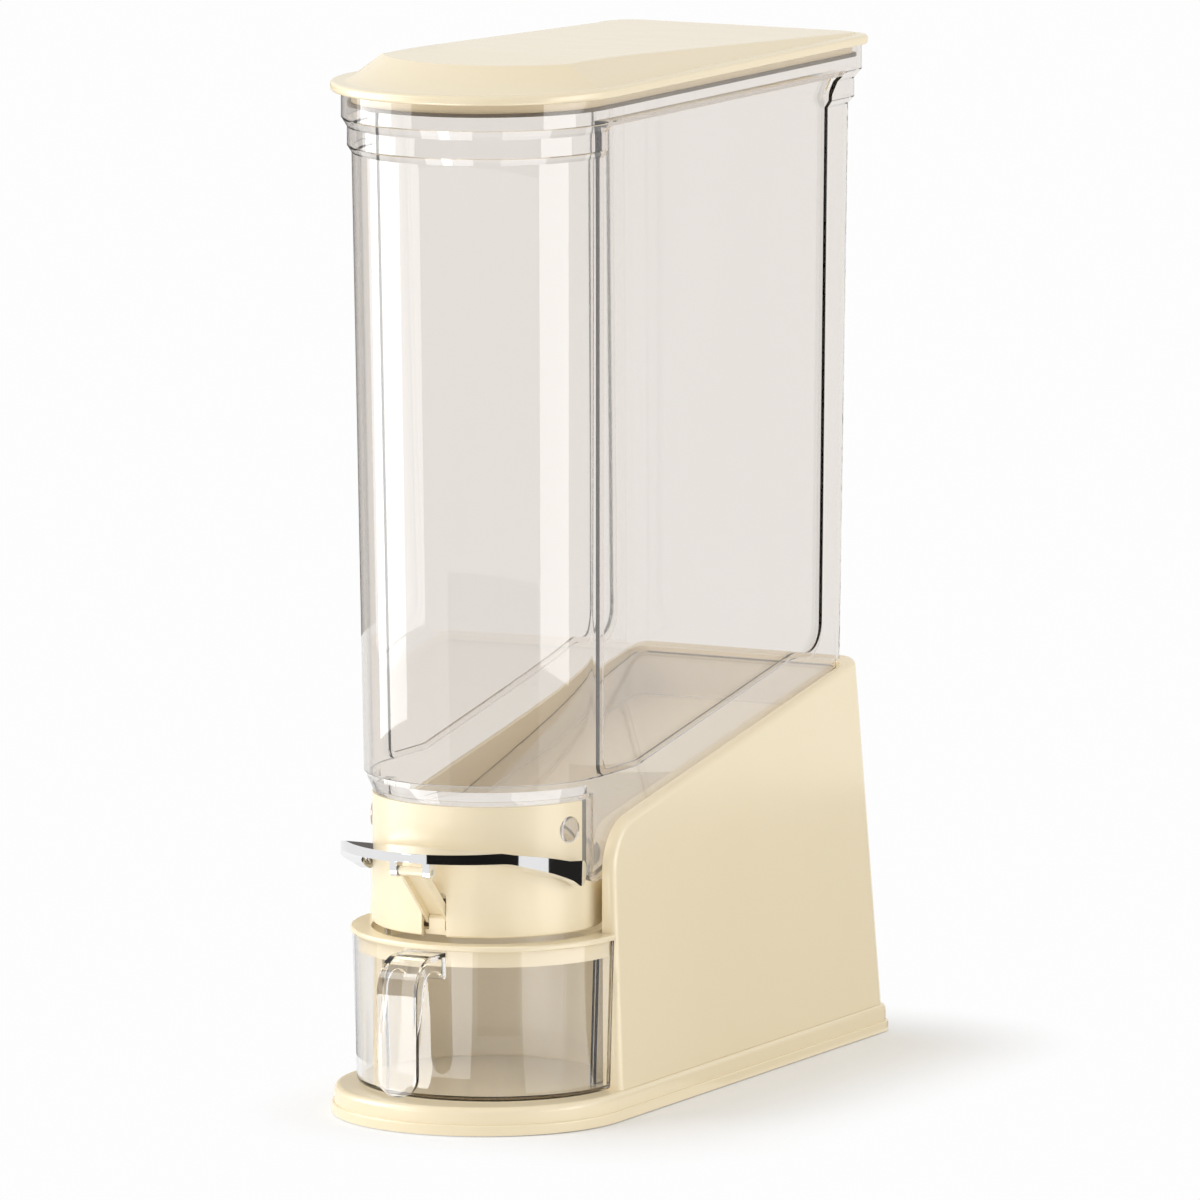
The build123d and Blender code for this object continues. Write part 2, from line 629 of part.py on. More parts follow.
def seam_corners(lift=0.0):
    """The seam seen from the side, from front to rear, as corners for side_slab."""
    low = BODY_LOW_Z + lift
    return [
        (-FAR, low, 0), (SEAM_RISE_START, low, SEAM_BEND), (SEAM_PEAK_Y, low + SEAM_PEAK, SEAM_BEND),
        (BODY_LOW_REAR, low + SEAM_REAR, 0), (FAR, low + SEAM_REAR, 0),
    ]


def above_seam():
    """Everything above the seam."""
    return side_slab(seam_corners() + [(FAR, 2 * FAR, 0), (-FAR, 2 * FAR, 0)])


def panel_recess(core_sections, grow=0.0):
    """Space outside the flat side panels, between the front and rear columns."""
    lift = PANEL_ABOVE_SEAM - grow
    _, start, peak, _, _ = seam_corners(lift)
    front_low, front_top = PANEL_FRONT_LOW - grow, PANEL_FRONT_TOP - grow
    rear = PANEL_REAR + grow
    fall = (SEAM_PEAK - SEAM_REAR) * (rear - SEAM_PEAK_Y) / (BODY_LOW_REAR - SEAM_PEAK_Y)
    top = PANEL_TOP_Z + grow
    outline = side_slab([
        (front_top, top, 0), (front_low, start[1], PANEL_FRONT_ROUND), start,
        (peak[0], peak[1], SEAM_BEND / 2), (rear, peak[1] - fall, PANEL_REAR_ROUND),
        (rear, top - PANEL_REAR_FLARE, PANEL_REAR_FLARE / 2), (rear + PANEL_REAR_FLARE, top, 0),
    ])
    return outline - tower(core_sections)


def panel_core(depth):
    """Plan sections of the container between the panels' faces."""
    lower, upper = inset(body_sections(), depth)
    rim = (RIM_TOP_Z + CUT, *upper[1:])
    return [lower, upper, rim]


def container_body():
    """Clear container with flat recessed sides, stepped neck and rim, open above and below."""
    outer = tower(body_sections()) + tower(neck_sections())
    outer -= panel_recess(panel_core(PANEL_DEPTH))
    top = neck_sections()[-1]
    inner_neck = neck_sections()[:-1] + [(RIM_TOP_Z + CUT, *top[1:])]
    cavity = tower(inset(body_sections(), WALL)) + tower(inset(inner_neck, WALL))
    cavity -= panel_recess(panel_core(PANEL_DEPTH + WALL), WALL)
    return (outer - cavity) & above_seam()


def behind_of(y, low=0.0, slope=0.0):
    """Everything behind y and above a line that starts there at height low and may rise."""
    high = low + (FAR - y) * tan(radians(slope))
    return side_slab([(y, low, 0), (FAR, high, 0), (FAR, 2 * FAR, 0), (y, 2 * FAR, 0)])


def hopper_shape(wall):
    """The hopper's outline as an upright solid, drawn in by a wall."""
    outline = plan(HOPPER_HALF - wall, BODY_LOW_NOSE, HOPPER_REAR - wall, HOPPER_CORNER - wall, OUTLET_BOTTOM)
    return extrude(outline, amount=BODY_LOW_Z + SEAM_PEAK - OUTLET_BOTTOM)


def hopper_nose(ceiling):
    """The low shelf in front of the skirts, which leans in to the collar."""
    low, step = COLLAR_TOP + SEAT_GAP, BODY_LOW_Z - HOPPER_NOSE_DROP
    nose = tower([
        (low, HOPPER_HALF - HOPPER_NOSE_TUCK, BODY_LOW_NOSE, HOPPER_REAR, HOPPER_CORNER),
        (step, HOPPER_HALF, BODY_LOW_NOSE, HOPPER_REAR, HOPPER_CORNER),
        (BODY_LOW_Z, HOPPER_HALF, BODY_LOW_NOSE, HOPPER_REAR, HOPPER_CORNER),
    ])
    nose -= hopper_shape(WALL) & behind_of(-FAR, ceiling)
    return nose - behind_of(SKIRT_FRONT)


def hopper():
    """Clear hopper with a sloped floor, side skirts and a round outlet with two studs."""
    ceiling = COLLAR_TOP + SEAT_GAP + WALL
    inner = hopper_shape(WALL)
    skirt_gap = NEST_DEPTH - SEAT_GAP
    shell = hopper_shape(0) & side_slab([
        (SKIRT_FRONT, BODY_LOW_Z, 0), *seam_corners()[1:], (FAR, slope_z(FAR, skirt_gap), 0),
        (SKIRT_FRONT, slope_z(SKIRT_FRONT, skirt_gap), SKIRT_ROUND),
    ])
    shell -= inner
    above_floor = behind_of(COLLAR_Y, floor_z(COLLAR_Y), FLOOR_SLOPE)
    floor = inner & behind_of(COLLAR_Y, floor_z(COLLAR_Y) - WALL, FLOOR_SLOPE) - above_floor
    tube = z_disc(OUTLET_RADIUS, OUTLET_BOTTOM, ceiling, COLLAR_Y) - above_floor
    funnel = shell + hopper_nose(ceiling) + floor + tube + funnel_ledge(inner, ceiling)
    funnel += outlet_studs(OUTLET_RADIUS - WALL / 2, COLLAR_RADIUS + STUD_PROUD, STUD_RADIUS, STUD_EDGE)
    return funnel - z_disc(OUTLET_BORE, 0, FAR, COLLAR_Y) - above_seam()


def funnel_ledge(inner, ceiling):
    """Upright wall and ledge that close the hopper beside the outlet."""
    wall = inner & box(-FAR, FAR, COLLAR_Y - WALL, COLLAR_Y, floor_z(COLLAR_Y) - WALL, ceiling)
    roof = inner & box(-FAR, FAR, SKIRT_FRONT - WALL / 2, COLLAR_Y, ceiling - WALL, ceiling)
    return wall + roof


def outlet_studs(from_radius, to_radius, stud_radius, edge=0.0):
    """Two round studs on the outlet that hold the collar, with an edge bevelled by that much."""
    reach = to_radius - from_radius
    stud = Pos(from_radius + reach / 2, 0, 0) * Rot(0, 90, 0) * Cylinder(stud_radius, reach)
    if edge:
        stud = chamfer(stud.edges().group_by(Axis.X)[-1], edge)
    stud = Pos(0, COLLAR_Y, STUD_Z) * Rot(0, 0, -STUD_ANGLE) * stud
    return both_sides(stud)


# Collar, chute and gate

def dispensing_collar():
    """Cream collar round the outlet, tall in front, with a slot for the link."""
    shell = z_disc(COLLAR_RADIUS, COLLAR_BOTTOM, COLLAR_TOP, COLLAR_Y)
    shell = fillet(shell.edges().group_by(Axis.Z)[0], COLLAR_EDGE_ROUND)
    shell -= z_disc(COLLAR_BORE, 0, FAR, COLLAR_Y)
    ledge = z_disc(COLLAR_BORE + COLLAR_WALL / 2, LEDGE_Z - LEDGE_WIDTH, LEDGE_Z, COLLAR_Y)
    ledge -= z_disc(COLLAR_BORE - LEDGE_WIDTH, 0, FAR, COLLAR_Y)
    collar = (shell + ledge) & side_slab([
        (-FAR, COLLAR_BOTTOM, 0), (-FAR, COLLAR_TOP, 0), (COLLAR_TALL_END, COLLAR_TOP, COLLAR_TOP_ROUND),
        (COLLAR_TALL_END, COLLAR_REAR_TOP, 0), (FAR, COLLAR_REAR_TOP, 0), (FAR, COLLAR_BOTTOM, 0),
    ])
    collar -= link_slot()
    collar -= outlet_studs(COLLAR_BORE - CUT, COLLAR_RADIUS + CUT, STUD_RADIUS + HOLD_GAP)
    return collar - x_rod(PIVOT_PIN_RADIUS + HOLD_GAP, -FAR / 4, FAR / 4, LEVER_PIVOT)


def link_slot():
    """Space for the slot through the collar's front and ledge, with round top corners."""
    outline = rounded_face([
        (-SLOT_HALF, COLLAR_BOTTOM - CUT, 0), (-SLOT_HALF, SLOT_TOP, SLOT_HALF / 3),
        (SLOT_HALF, SLOT_TOP, SLOT_HALF / 3), (SLOT_HALF, COLLAR_BOTTOM - CUT, 0),
    ])
    slot = extrude(Plane.XZ * outline, amount=FAR, both=True)
    return slot & box(-FAR, FAR, -FAR, COLLAR_Y - COLLAR_BORE + LEDGE_WIDTH + CUT, 0, FAR)


def collar_side_x(radius, y):
    """X of the collar's surface of a given radius at y."""
    return sqrt(radius ** 2 - (y - COLLAR_Y) ** 2)


def chute_insert():
    """Offset funnel from the outlet down to a round spout, notched for the link, with ears."""
    outer_radius, spout_radius = COLLAR_BORE - SEAT_GAP, SPOUT_BORE + SPOUT_WALL
    spout_top = SPOUT_BOTTOM + SPOUT_LENGTH
    spout_outer = Pos(0, SPOUT_Y, spout_top) * Circle(spout_radius)
    spout_inner = Pos(0, SPOUT_Y, spout_top) * Circle(SPOUT_BORE)
    top_outer = Pos(0, COLLAR_Y, FUNNEL_TOP) * Circle(OUTLET_BORE)
    top_inner = Pos(0, COLLAR_Y, FUNNEL_TOP) * Circle(OUTLET_BORE - SPOUT_WALL)
    flange = z_disc(outer_radius, LEDGE_Z, LEDGE_Z + FUNNEL_FLANGE, COLLAR_Y)
    flange += z_disc(outer_radius, LEDGE_Z, GASKET_LOW, COLLAR_Y) - z_disc(OUTLET_BORE, 0, FAR, COLLAR_Y)
    notch_half = LINK_HALF + SIDE_GAP
    flange -= box(-notch_half, notch_half, -FAR, LINK_FOOT[0] + LINK_END_RADIUS + SEAT_GAP, 0, FAR)
    solid = loft([spout_outer, top_outer], ruled=True) + flange
    solid += z_disc(spout_radius, SPOUT_BOTTOM, spout_top, SPOUT_Y)
    solid -= loft([spout_inner, top_inner], ruled=True)
    solid -= z_disc(SPOUT_BORE, 0, spout_top, SPOUT_Y)
    solid += both_sides(hinge_ear())
    return solid - x_rod(HINGE_PIN_RADIUS + HOLD_GAP, -FAR / 4, FAR / 4, GATE_HINGE)


def hinge_ear():
    """Ear under the chute that holds one end of the gate's hinge pin."""
    y, z = GATE_HINGE
    inside, radius, root = HINGE_HALF + SIDE_GAP, HINGE_EAR_RADIUS, LEDGE_Z + CUT
    front, back = y - radius, y + radius
    ear = side_slab([(front, z, 0), (front, root, 0), (back + 3 * radius, root, 0), (back, z, 0)])
    ear += x_rod(radius, -FAR, FAR, GATE_HINGE)
    return ear & box(inside, inside + HINGE_EAR_THICKNESS, -FAR, FAR, 0, FAR)


def outlet_gasket():
    """Soft ring between the hopper's outlet and the chute's flange."""
    ring = z_disc(OUTLET_RADIUS, GASKET_LOW, OUTLET_BOTTOM, COLLAR_Y)
    return ring - z_disc(OUTLET_BORE, 0, FAR, COLLAR_Y)


def gate_flap():
    """Round gate under the spout with a hinge barrel behind and a knuckle for the link in front."""
    disc = z_disc(GATE_RADIUS, GATE_BOTTOM, GATE_TOP, SPOUT_Y)
    tail = box(-HINGE_HALF, HINGE_HALF, SPOUT_Y, GATE_HINGE[0], GATE_BOTTOM, GATE_TOP)
    barrel = x_rod(HINGE_EAR_RADIUS, -HINGE_HALF, HINGE_HALF, GATE_HINGE)
    knuckle_half = LINK_HALF - LINK_FLANGE - SIDE_GAP
    front, back = LINK_FOOT[0] - LINK_END_RADIUS, LINK_FOOT[0] + LINK_END_RADIUS
    tongue = box(-LINK_HALF, LINK_HALF, front, SPOUT_Y, GATE_BOTTOM, GATE_TOP)
    post = side_slab([
        (front, GATE_BOTTOM, 0), (front, LINK_FOOT[1], 0), (back, LINK_FOOT[1], 0), (back, GATE_BOTTOM, 0),
    ], knuckle_half)
    post += x_rod(LINK_END_RADIUS, -knuckle_half, knuckle_half, LINK_FOOT)
    gate = disc + tail + barrel + tongue + post
    hinge_y = GATE_HINGE[0]
    gate -= box(-SPRING_HALF, SPRING_HALF, hinge_y - SPRING_ROOM, hinge_y + SPRING_ROOM, 0, FAR)
    gate -= x_rod(HINGE_PIN_RADIUS + RUN_GAP, -FAR / 4, FAR / 4, GATE_HINGE)
    return gate - x_rod(FOOT_PIN_RADIUS + RUN_GAP, -FAR / 4, FAR / 4, LINK_FOOT)


def gate_seal():
    """Soft ring on the gate that closes against the spout."""
    outer = GATE_RADIUS - SEAL_MARGIN
    ring = z_disc(outer, GATE_TOP, GATE_TOP + SEAL_THICKNESS, SPOUT_Y)
    ring -= z_disc(outer - SEAL_BAND, 0, FAR, SPOUT_Y)
    hinge_side = HINGE_HALF + SIDE_GAP
    return ring - box(-hinge_side, hinge_side, GATE_HINGE[0] - SPRING_ROOM, FAR, 0, FAR)


def gate_hinge_pin():
    """Steel pin through the chute's ears and the gate's barrel."""
    end = HINGE_HALF + SIDE_GAP + HINGE_EAR_THICKNESS
    return x_rod(HINGE_PIN_RADIUS, -end, end, GATE_HINGE)


def return_spring():
    """Torsion spring wound on the gate's hinge pin."""
    coil_radius = HINGE_PIN_RADIUS + SPRING_PLAY + SPRING_WIRE / 2
    length = 2 * (SPRING_HALF - SPRING_WIRE)
    path = Helix(pitch=length / SPRING_TURNS, height=length, radius=coil_radius)
    section = Plane(origin=path @ 0, z_dir=path % 0) * Circle(SPRING_WIRE / 2)
    coil = sweep(section, path=path, is_frenet=True)
    return Pos(-length / 2, *GATE_HINGE) * Rot(0, 90, 0) * coil


# Lever and link

def lever_reach():
    """Half width of the lever over its feet, which stand one gap outside the collar."""
    foot_end = LEVER_PIVOT[0] + LEVER_FOOT_RADIUS + LEVER_FOOT_END
    return collar_side_x(COLLAR_RADIUS, foot_end) + SEAT_GAP + LEVER_ARM_WIDTH


def lever_outline():
    """The lever from above: a round press bar that runs back into two arms with straight feet."""
    reach, foot_y = lever_reach(), LEVER_PIVOT[0] + LEVER_FOOT_RADIUS + LEVER_FOOT_END
    inner, inner_y = reach - LEVER_ARM_WIDTH, LEVER_PIVOT[0] - LEVER_FOOT_RADIUS
    wide_x, wide_y = LEVER_WIDEST
    hip = (wide_x - LEVER_HIP_STEP, (wide_y + foot_y) / 2)
    half_outline = [
        ThreePointArc((reach, foot_y), hip, LEVER_WIDEST),
        Line((inner, inner_y), (inner, foot_y)),
        Line((inner, foot_y), (reach, foot_y)),
    ]
    front = ThreePointArc(LEVER_WIDEST, (0, LEVER_FRONT), (-wide_x, wide_y))
    back = ThreePointArc((inner, inner_y), (0, LEVER_RIDGE), (-inner, inner_y))
    other_half = [mirror(edge, about=Plane.YZ) for edge in half_outline]
    return make_face(half_outline + other_half + [front, back])


def lever():
    """Chrome lever: a press bar across the front on two arms, with lugs for the link's pin."""
    bar = extrude(Pos(0, 0, COLLAR_BOTTOM) * lever_outline(), amount=COLLAR_HEIGHT)
    bar &= side_slab(lever_side())
    pin_end = lever_reach() - PIN_COVER
    bar -= both_sides(x_rod(PIVOT_PIN_RADIUS + RUN_GAP, 0, pin_end, LEVER_PIVOT))
    return bar + lever_lugs()


def lever_side():
    """The lever seen from the side, as corners for side_slab."""
    y, z = LEVER_PIVOT
    r = LEVER_FOOT_RADIUS
    over = [(y + back, z + up, bend) for back, up, bend in LEVER_OVER]
    under = [(y + back, z + up, bend) for back, up, bend in LEVER_UNDER]
    heel = [(y + r, z - r, r * 0.85), (y + r, z + r - HEEL_STEP, r * 0.7)]
    nose = [
        (LEVER_RIDGE, z + LEVER_RIDGE_RISE, LEVER_RIDGE_ROUND),
        (LEVER_FRONT, z + LEVER_LIP_TOP, LEVER_LIP_ROUND), (LEVER_FRONT, z + LEVER_LIP_LOW, LEVER_LIP_ROUND),
    ]
    return heel + over + nose + under + [(y - HEEL_STEP, z - r, 4 * HEEL_STEP)]


def lever_lugs():
    """Two lugs under the press bar that hold the link's upper pin."""
    y, z = LINK_TOP
    left, right, high = y - LUG_RADIUS, y + LUG_RADIUS, z + LUG_RISE
    lug = side_slab([(left, z, 0), (left, high, 0), (right, high, 0), (right, z, 0)])
    lug += x_rod(LUG_RADIUS, -FAR, FAR, LINK_TOP)
    lug &= box(LUG_INNER, LUG_INNER + LUG_THICKNESS, -FAR, FAR, 0, FAR)
    return both_sides(lug - x_rod(LINK_PIN_RADIUS + HOLD_GAP, -FAR / 4, FAR / 4, LINK_TOP))


def lever_pivot_pins():
    """Two shouldered pins in the collar's sides that carry the lever."""
    inner = collar_side_x(OUTLET_RADIUS + SEAT_GAP, LEVER_PIVOT[0]) + PIN_END_GAP
    outer = lever_reach() - PIN_COVER - PIN_END_GAP
    shoulder_start = collar_side_x(COLLAR_RADIUS, LEVER_PIVOT[0] + PIVOT_SHOULDER_RADIUS)
    shoulder_end = lever_reach() - LEVER_ARM_WIDTH - SEAT_GAP
    pin = x_rod(PIVOT_PIN_RADIUS, inner, outer, LEVER_PIVOT)
    pin += x_rod(PIVOT_SHOULDER_RADIUS, shoulder_start, shoulder_end, LEVER_PIVOT)
    return [pin, mirror(pin, about=Plane.YZ)]


def link_frame():
    """Place of the link: its own X across, its own Z from the lower to the upper pin."""
    rise = Vector(0, LINK_TOP[0] - LINK_FOOT[0], LINK_TOP[1] - LINK_FOOT[1])
    return Plane(origin=(0, *LINK_FOOT), x_dir=(1, 0, 0), z_dir=rise), rise.length


def link_arm():
    """Cream channel-shaped link from the lever's lugs through the slot to the gate."""
    frame, length = link_frame()
    web_length = length - 2 * (LINK_END_RADIUS + HOLD_GAP)
    web = Pos(0, LINK_DEPTH - LINK_WEB / 2, length / 2) * Box(2 * LINK_HALF, LINK_WEB, web_length)
    flange = Pos(LINK_HALF - LINK_FLANGE / 2, 0, length / 2) * Box(LINK_FLANGE, 2 * LINK_DEPTH, length)
    link = frame * (web + both_sides(flange))
    for side in (-1, 1):
        link += x_rod(LINK_END_RADIUS, side * LINK_HALF, side * (LINK_HALF - LINK_FLANGE), LINK_FOOT)
    link += x_rod(LINK_END_RADIUS, -LINK_HALF, LINK_HALF, LINK_TOP)
    link -= x_rod(FOOT_PIN_RADIUS + HOLD_GAP, -FAR / 4, FAR / 4, LINK_FOOT)
    return link - x_rod(LINK_PIN_RADIUS + RUN_GAP, -FAR / 4, FAR / 4, LINK_TOP)


def link_upper_pin():
    """Steel pin through the lever's lugs."""
    end = LUG_INNER + LUG_THICKNESS
    return x_rod(LINK_PIN_RADIUS, -end, end, LINK_TOP)


def link_lower_pin():
    """Steel pin through the link's flanges and the gate's knuckle."""
    return x_rod(FOOT_PIN_RADIUS, -LINK_HALF, LINK_HALF, LINK_FOOT)


# Cup

def cup_plan(front_radius, rear_radius, z):
    """Cup outline: a wide round front that steps in to a narrower round rear."""
    return Pos(0, 0, z) * make_face([
        ThreePointArc((-front_radius, CUP_Y), (0, CUP_Y - front_radius), (front_radius, CUP_Y)),
        Line((front_radius, CUP_Y), (rear_radius, CUP_Y)),
        ThreePointArc((rear_radius, CUP_Y), (0, CUP_Y + rear_radius), (-rear_radius, CUP_Y)),
        Line((-rear_radius, CUP_Y), (-front_radius, CUP_Y)),
    ])


def cup_block(wall, z0, z1):
    """Drafted solid inside the cup's outline, drawn in by a wall."""
    faces = []
    for z in (z0, z1):
        lean = (CUP_TOP - z) * tan(radians(CUP_DRAFT)) + wall
        faces.append(cup_plan(CUP_FRONT_RADIUS - lean, CUP_REAR_RADIUS - lean, z))
    inner = loft(faces, ruled=True)
    if wall > 0:
        inner -= box(-FAR, FAR, CUP_Y - wall, CUP_Y + wall, 0, FAR)
        inner += cup_waist(wall, z0, z1)
    return inner


def cup_waist(wall, z0, z1):
    """The part of the cup's inside between its front and rear, one wall clear of the steps."""
    faces = []
    for z in (z0, z1):
        half = CUP_REAR_RADIUS - (CUP_TOP - z) * tan(radians(CUP_DRAFT)) - wall
        faces.append(Pos(0, CUP_Y, z) * Rectangle(2 * half - wall / 4, 2 * wall + HOLD_GAP))
    return loft(faces, ruled=True)


def long_edges(solid):
    """The edges that run round the cup's outline, without its corners."""
    return [edge for edge in solid.edges() if edge.length > CUP_REAR_RADIUS]


def cup_body():
    """Clear measuring cup."""
    outer = cup_block(0, CUP_BOTTOM, CUP_TOP)
    foot = [edge for edge in long_edges(outer) if edge.center().Z < CUP_TOP / 2]
    outer = fillet(foot, CUP_FOOT_ROUND)
    return outer - cup_block(CUP_WALL, CUP_BOTTOM + CUP_FLOOR, CUP_TOP + CUT)


def cup_ring_cover():
    """Cream ring on the cup with a wide hole under the spout and a skirt inside the cup."""
    front, rear = CUP_FRONT_RADIUS + RING_OVERHANG, CUP_REAR_RADIUS + RING_OVERHANG / 2
    plate = extrude(cup_plan(front, rear, CUP_TOP), amount=RING_THICKNESS)
    plate = fillet(long_edges(plate), RING_EDGE_ROUND)
    low = CUP_TOP - RING_SKIRT_DEPTH
    outside = CUP_WALL + SEAT_GAP
    skirt = cup_block(outside, low, CUP_TOP) - cup_block(outside + RING_SKIRT_WALL, low - CUT, CUP_TOP + CUT)
    return plate + skirt - z_disc(RING_BORE, 0, FAR, COLLAR_Y)


def cup_handle():
    """Clear hanging handle: a ribbed hook from the rim that drops into a flat grip."""
    wall = CUP_Y - CUP_FRONT_RADIUS
    front, top, root = HANDLE_FRONT, HANDLE_TOP, HANDLE_TOP - HANDLE_ROOT
    behind, back = wall + HANDLE_ROOT_REACH, front + HANDLE_WEB
    web = side_slab([
        (behind, top, 0), (front, top, HANDLE_BEND), (front, HANDLE_BOTTOM, 0),
        (back, HANDLE_BOTTOM, 1.0), (back, top - HANDLE_WEB, HANDLE_BEND - HANDLE_WEB),
        (behind, top - HANDLE_WEB, 0),
    ], HANDLE_HALF)
    depth, rib_foot = HANDLE_RIB_DEPTH, HANDLE_RIB_END - HANDLE_RIB_RUNOUT
    rib = side_slab([
        (behind, top, 0), (front, top, HANDLE_BEND), (front, rib_foot, 0), (back, rib_foot, 0),
        (front + depth, HANDLE_RIB_END + 4, 4), (front + depth, top - depth, HANDLE_BEND - depth),
        (wall - HANDLE_GUSSET, top - depth, 5), (wall + CUT, root, 0), (behind, root, 0),
    ], HANDLE_HALF)
    rib -= box(HANDLE_RIB - HANDLE_HALF, HANDLE_HALF - HANDLE_RIB, -FAR, FAR, 0, FAR)
    silhouette = extrude(Plane.XZ * rounded_face([
        (-HANDLE_HALF, HANDLE_BOTTOM, HANDLE_HALF - 1), (-HANDLE_HALF, top, 0.5),
        (HANDLE_HALF, top, 0.5), (HANDLE_HALF, HANDLE_BOTTOM, HANDLE_HALF - 1),
    ]), amount=FAR, both=True)
    pad = box(-HANDLE_HALF, HANDLE_HALF, wall - HANDLE_PAD, behind, root, top)
    handle = (web + rib + pad) & silhouette
    return handle - cup_block(-HANDLE_SEAM, CUP_BOTTOM - CUT, CUP_TOP + CUT)


# Lid

def dome_block(base, wall):
    """The lid's raised top above height base, drawn in by a wall: a sloped plateau with side
    bevels and a flared front."""
    lip_top = LID_BOTTOM + LIP_HEIGHT - wall
    high = DOME_HEIGHT + 1
    bevel_foot = DOME_HALF - wall * (sqrt(1 + DOME_BEVEL ** 2) - DOME_BEVEL)
    bevels = extrude(Plane.XZ * rounded_face([
        (-bevel_foot, base, 0), (bevel_foot, base, 0), (bevel_foot, lip_top, 0),
        (bevel_foot - DOME_BEVEL * high, lip_top + high, 0),
        (DOME_BEVEL * high - bevel_foot, lip_top + high, 0), (-bevel_foot, lip_top, 0),
    ]), amount=FAR, both=True)
    rear = LID_REAR - LIP_LEDGE
    plateau = side_slab([
        (-FAR, base, 0), (FAR, base, 0), (FAR, lip_top + DOME_REAR_HEIGHT, 0),
        (rear, lip_top + DOME_REAR_HEIGHT, 0), (DOME_FALL_START, lip_top + DOME_HEIGHT, DOME_FALL_ROUND),
        (-FAR, lip_top + DOME_HEIGHT, 0),
    ])
    rings = []
    for step in range(DOME_FLARE_STEPS + 1):
        share = DOME_FLARE_REACH * step / DOME_FLARE_STEPS
        radius = DOME_FOOT_RADIUS + (DOME_TOP_RADIUS - DOME_FOOT_RADIUS) * share - wall
        front = DOME_FOOT_FRONT + (DOME_TOP_FRONT - DOME_FOOT_FRONT) * share + wall
        level = lip_top + DOME_HEIGHT * share ** DOME_FLARE
        rings.append(plan(radius, front + radius, rear - wall, LID_CORNER - LIP_LEDGE, level))
    foot = extrude(Pos(0, 0, base - rings[0].center().Z) * rings[0], amount=rings[0].center().Z - base)
    return (foot + loft(rings)) & bevels & plateau


def lid_shell():
    """Cream lid: rounded lip plate with a raised top that slopes down to the rear."""
    plate = extrude(plan(LID_HALF, LID_NOSE, LID_REAR, LID_CORNER, LID_BOTTOM), amount=LIP_HEIGHT)
    plate = fillet(plate.edges().group_by(Axis.Z)[-1] + plate.edges().group_by(Axis.Z)[0], LIP_ROUND)
    seat = LID_BOTTOM + LINER_PLATE
    shell = plate + dome_block(seat, 0)
    well = liner_plan(LINER_FLANGE + HOLD_GAP)
    shell -= extrude(plan(*well, LID_BOTTOM - 1), amount=LINER_PLATE + 1)
    open_half = extrude(plan(*liner_plan(LINER_FLANGE - LINER_LEDGE), seat - 1), amount=FAR)
    return shell - (dome_block(seat - 1, LID_WALL) & open_half)


def liner_plan(grow=0.0):
    """Half width, nose, rear and corner of the liner's skirt, grown outwards."""
    half = BODY_TOP_HALF + RIM_STEP - WALL - SEAT_GAP - SEAL_PROUD
    rear = BODY_TOP_REAR + RIM_REAR_STEP - WALL - SEAT_GAP - SEAL_PROUD
    return half + grow, BODY_TOP_NOSE, rear + grow, LINER_CORNER + grow


def lid_liner():
    """Cream inner plate with the skirt that plugs into the container's rim."""
    skirt_low = LID_BOTTOM - LINER_SKIRT
    skirt = extrude(plan(*liner_plan(), skirt_low), amount=LINER_SKIRT + LINER_PLATE / 2)
    plate = extrude(plan(*liner_plan(LINER_FLANGE), LID_BOTTOM), amount=LINER_PLATE)
    inside = extrude(plan(*liner_plan(-LINER_WALL), skirt_low - 1), amount=LINER_SKIRT + 1)
    return skirt + plate - inside


def lid_seal():
    """Soft band round the liner's skirt."""
    low = LID_BOTTOM - LINER_SKIRT + 0.2
    band = extrude(plan(*liner_plan(SEAL_PROUD), low), amount=LID_SEAL_HEIGHT)
    return band - extrude(plan(*liner_plan(), low - 1), amount=LID_SEAL_HEIGHT + 2)


PARTS = {
    "base_plinth": base_plinth,
    "rubber_feet": rubber_feet,
    "housing_screws": housing_screws,
    "stand_housing": stand_housing,
    "container_body": container_body,
    "hopper": hopper,
    "dispensing_collar": dispensing_collar,
    "chute_insert": chute_insert,
    "outlet_gasket": outlet_gasket,
    "gate_flap": gate_flap,
    "gate_seal": gate_seal,
    "gate_hinge_pin": gate_hinge_pin,
    "return_spring": return_spring,
    "lever": lever,
    "lever_pivot_pins": lever_pivot_pins,
    "link_arm": link_arm,
    "link_upper_pin": link_upper_pin,
    "link_lower_pin": link_lower_pin,
    "cup_body": cup_body,
    "cup_handle": cup_handle,
    "cup_ring_cover": cup_ring_cover,
    "lid_shell": lid_shell,
    "lid_liner": lid_liner,
    "lid_seal": lid_seal,
}


def placed(shape):
    """A piece moved so that the whole object's bottom centre is the origin."""
    solids = shape if isinstance(shape, list) else shape.solids()
    moved = [Pos(0, -ORIGIN_Y, 0) * solid for solid in solids]
    return moved[0] if len(moved) == 1 else Compound(children=moved)


os.makedirs("parts", exist_ok=True)
for name, make in PARTS.items():
    export_step(placed(make()), f"parts/{name}.step")
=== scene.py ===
"""Rice dispenser: a clear container on a cream stand, with a lever, a gate and a measuring cup.

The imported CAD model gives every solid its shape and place. This script gives each of them its
finish, and sets up the floor, the lamps, the screens that only reflections see, and the camera.
Lengths are in metres and angles in degrees, apart from the camera's lens and sensor.
"""

import logging
from dataclasses import dataclass, field
from enum import Enum
from math import cos, radians, sin
from typing import Iterable, Mapping, Optional, Union

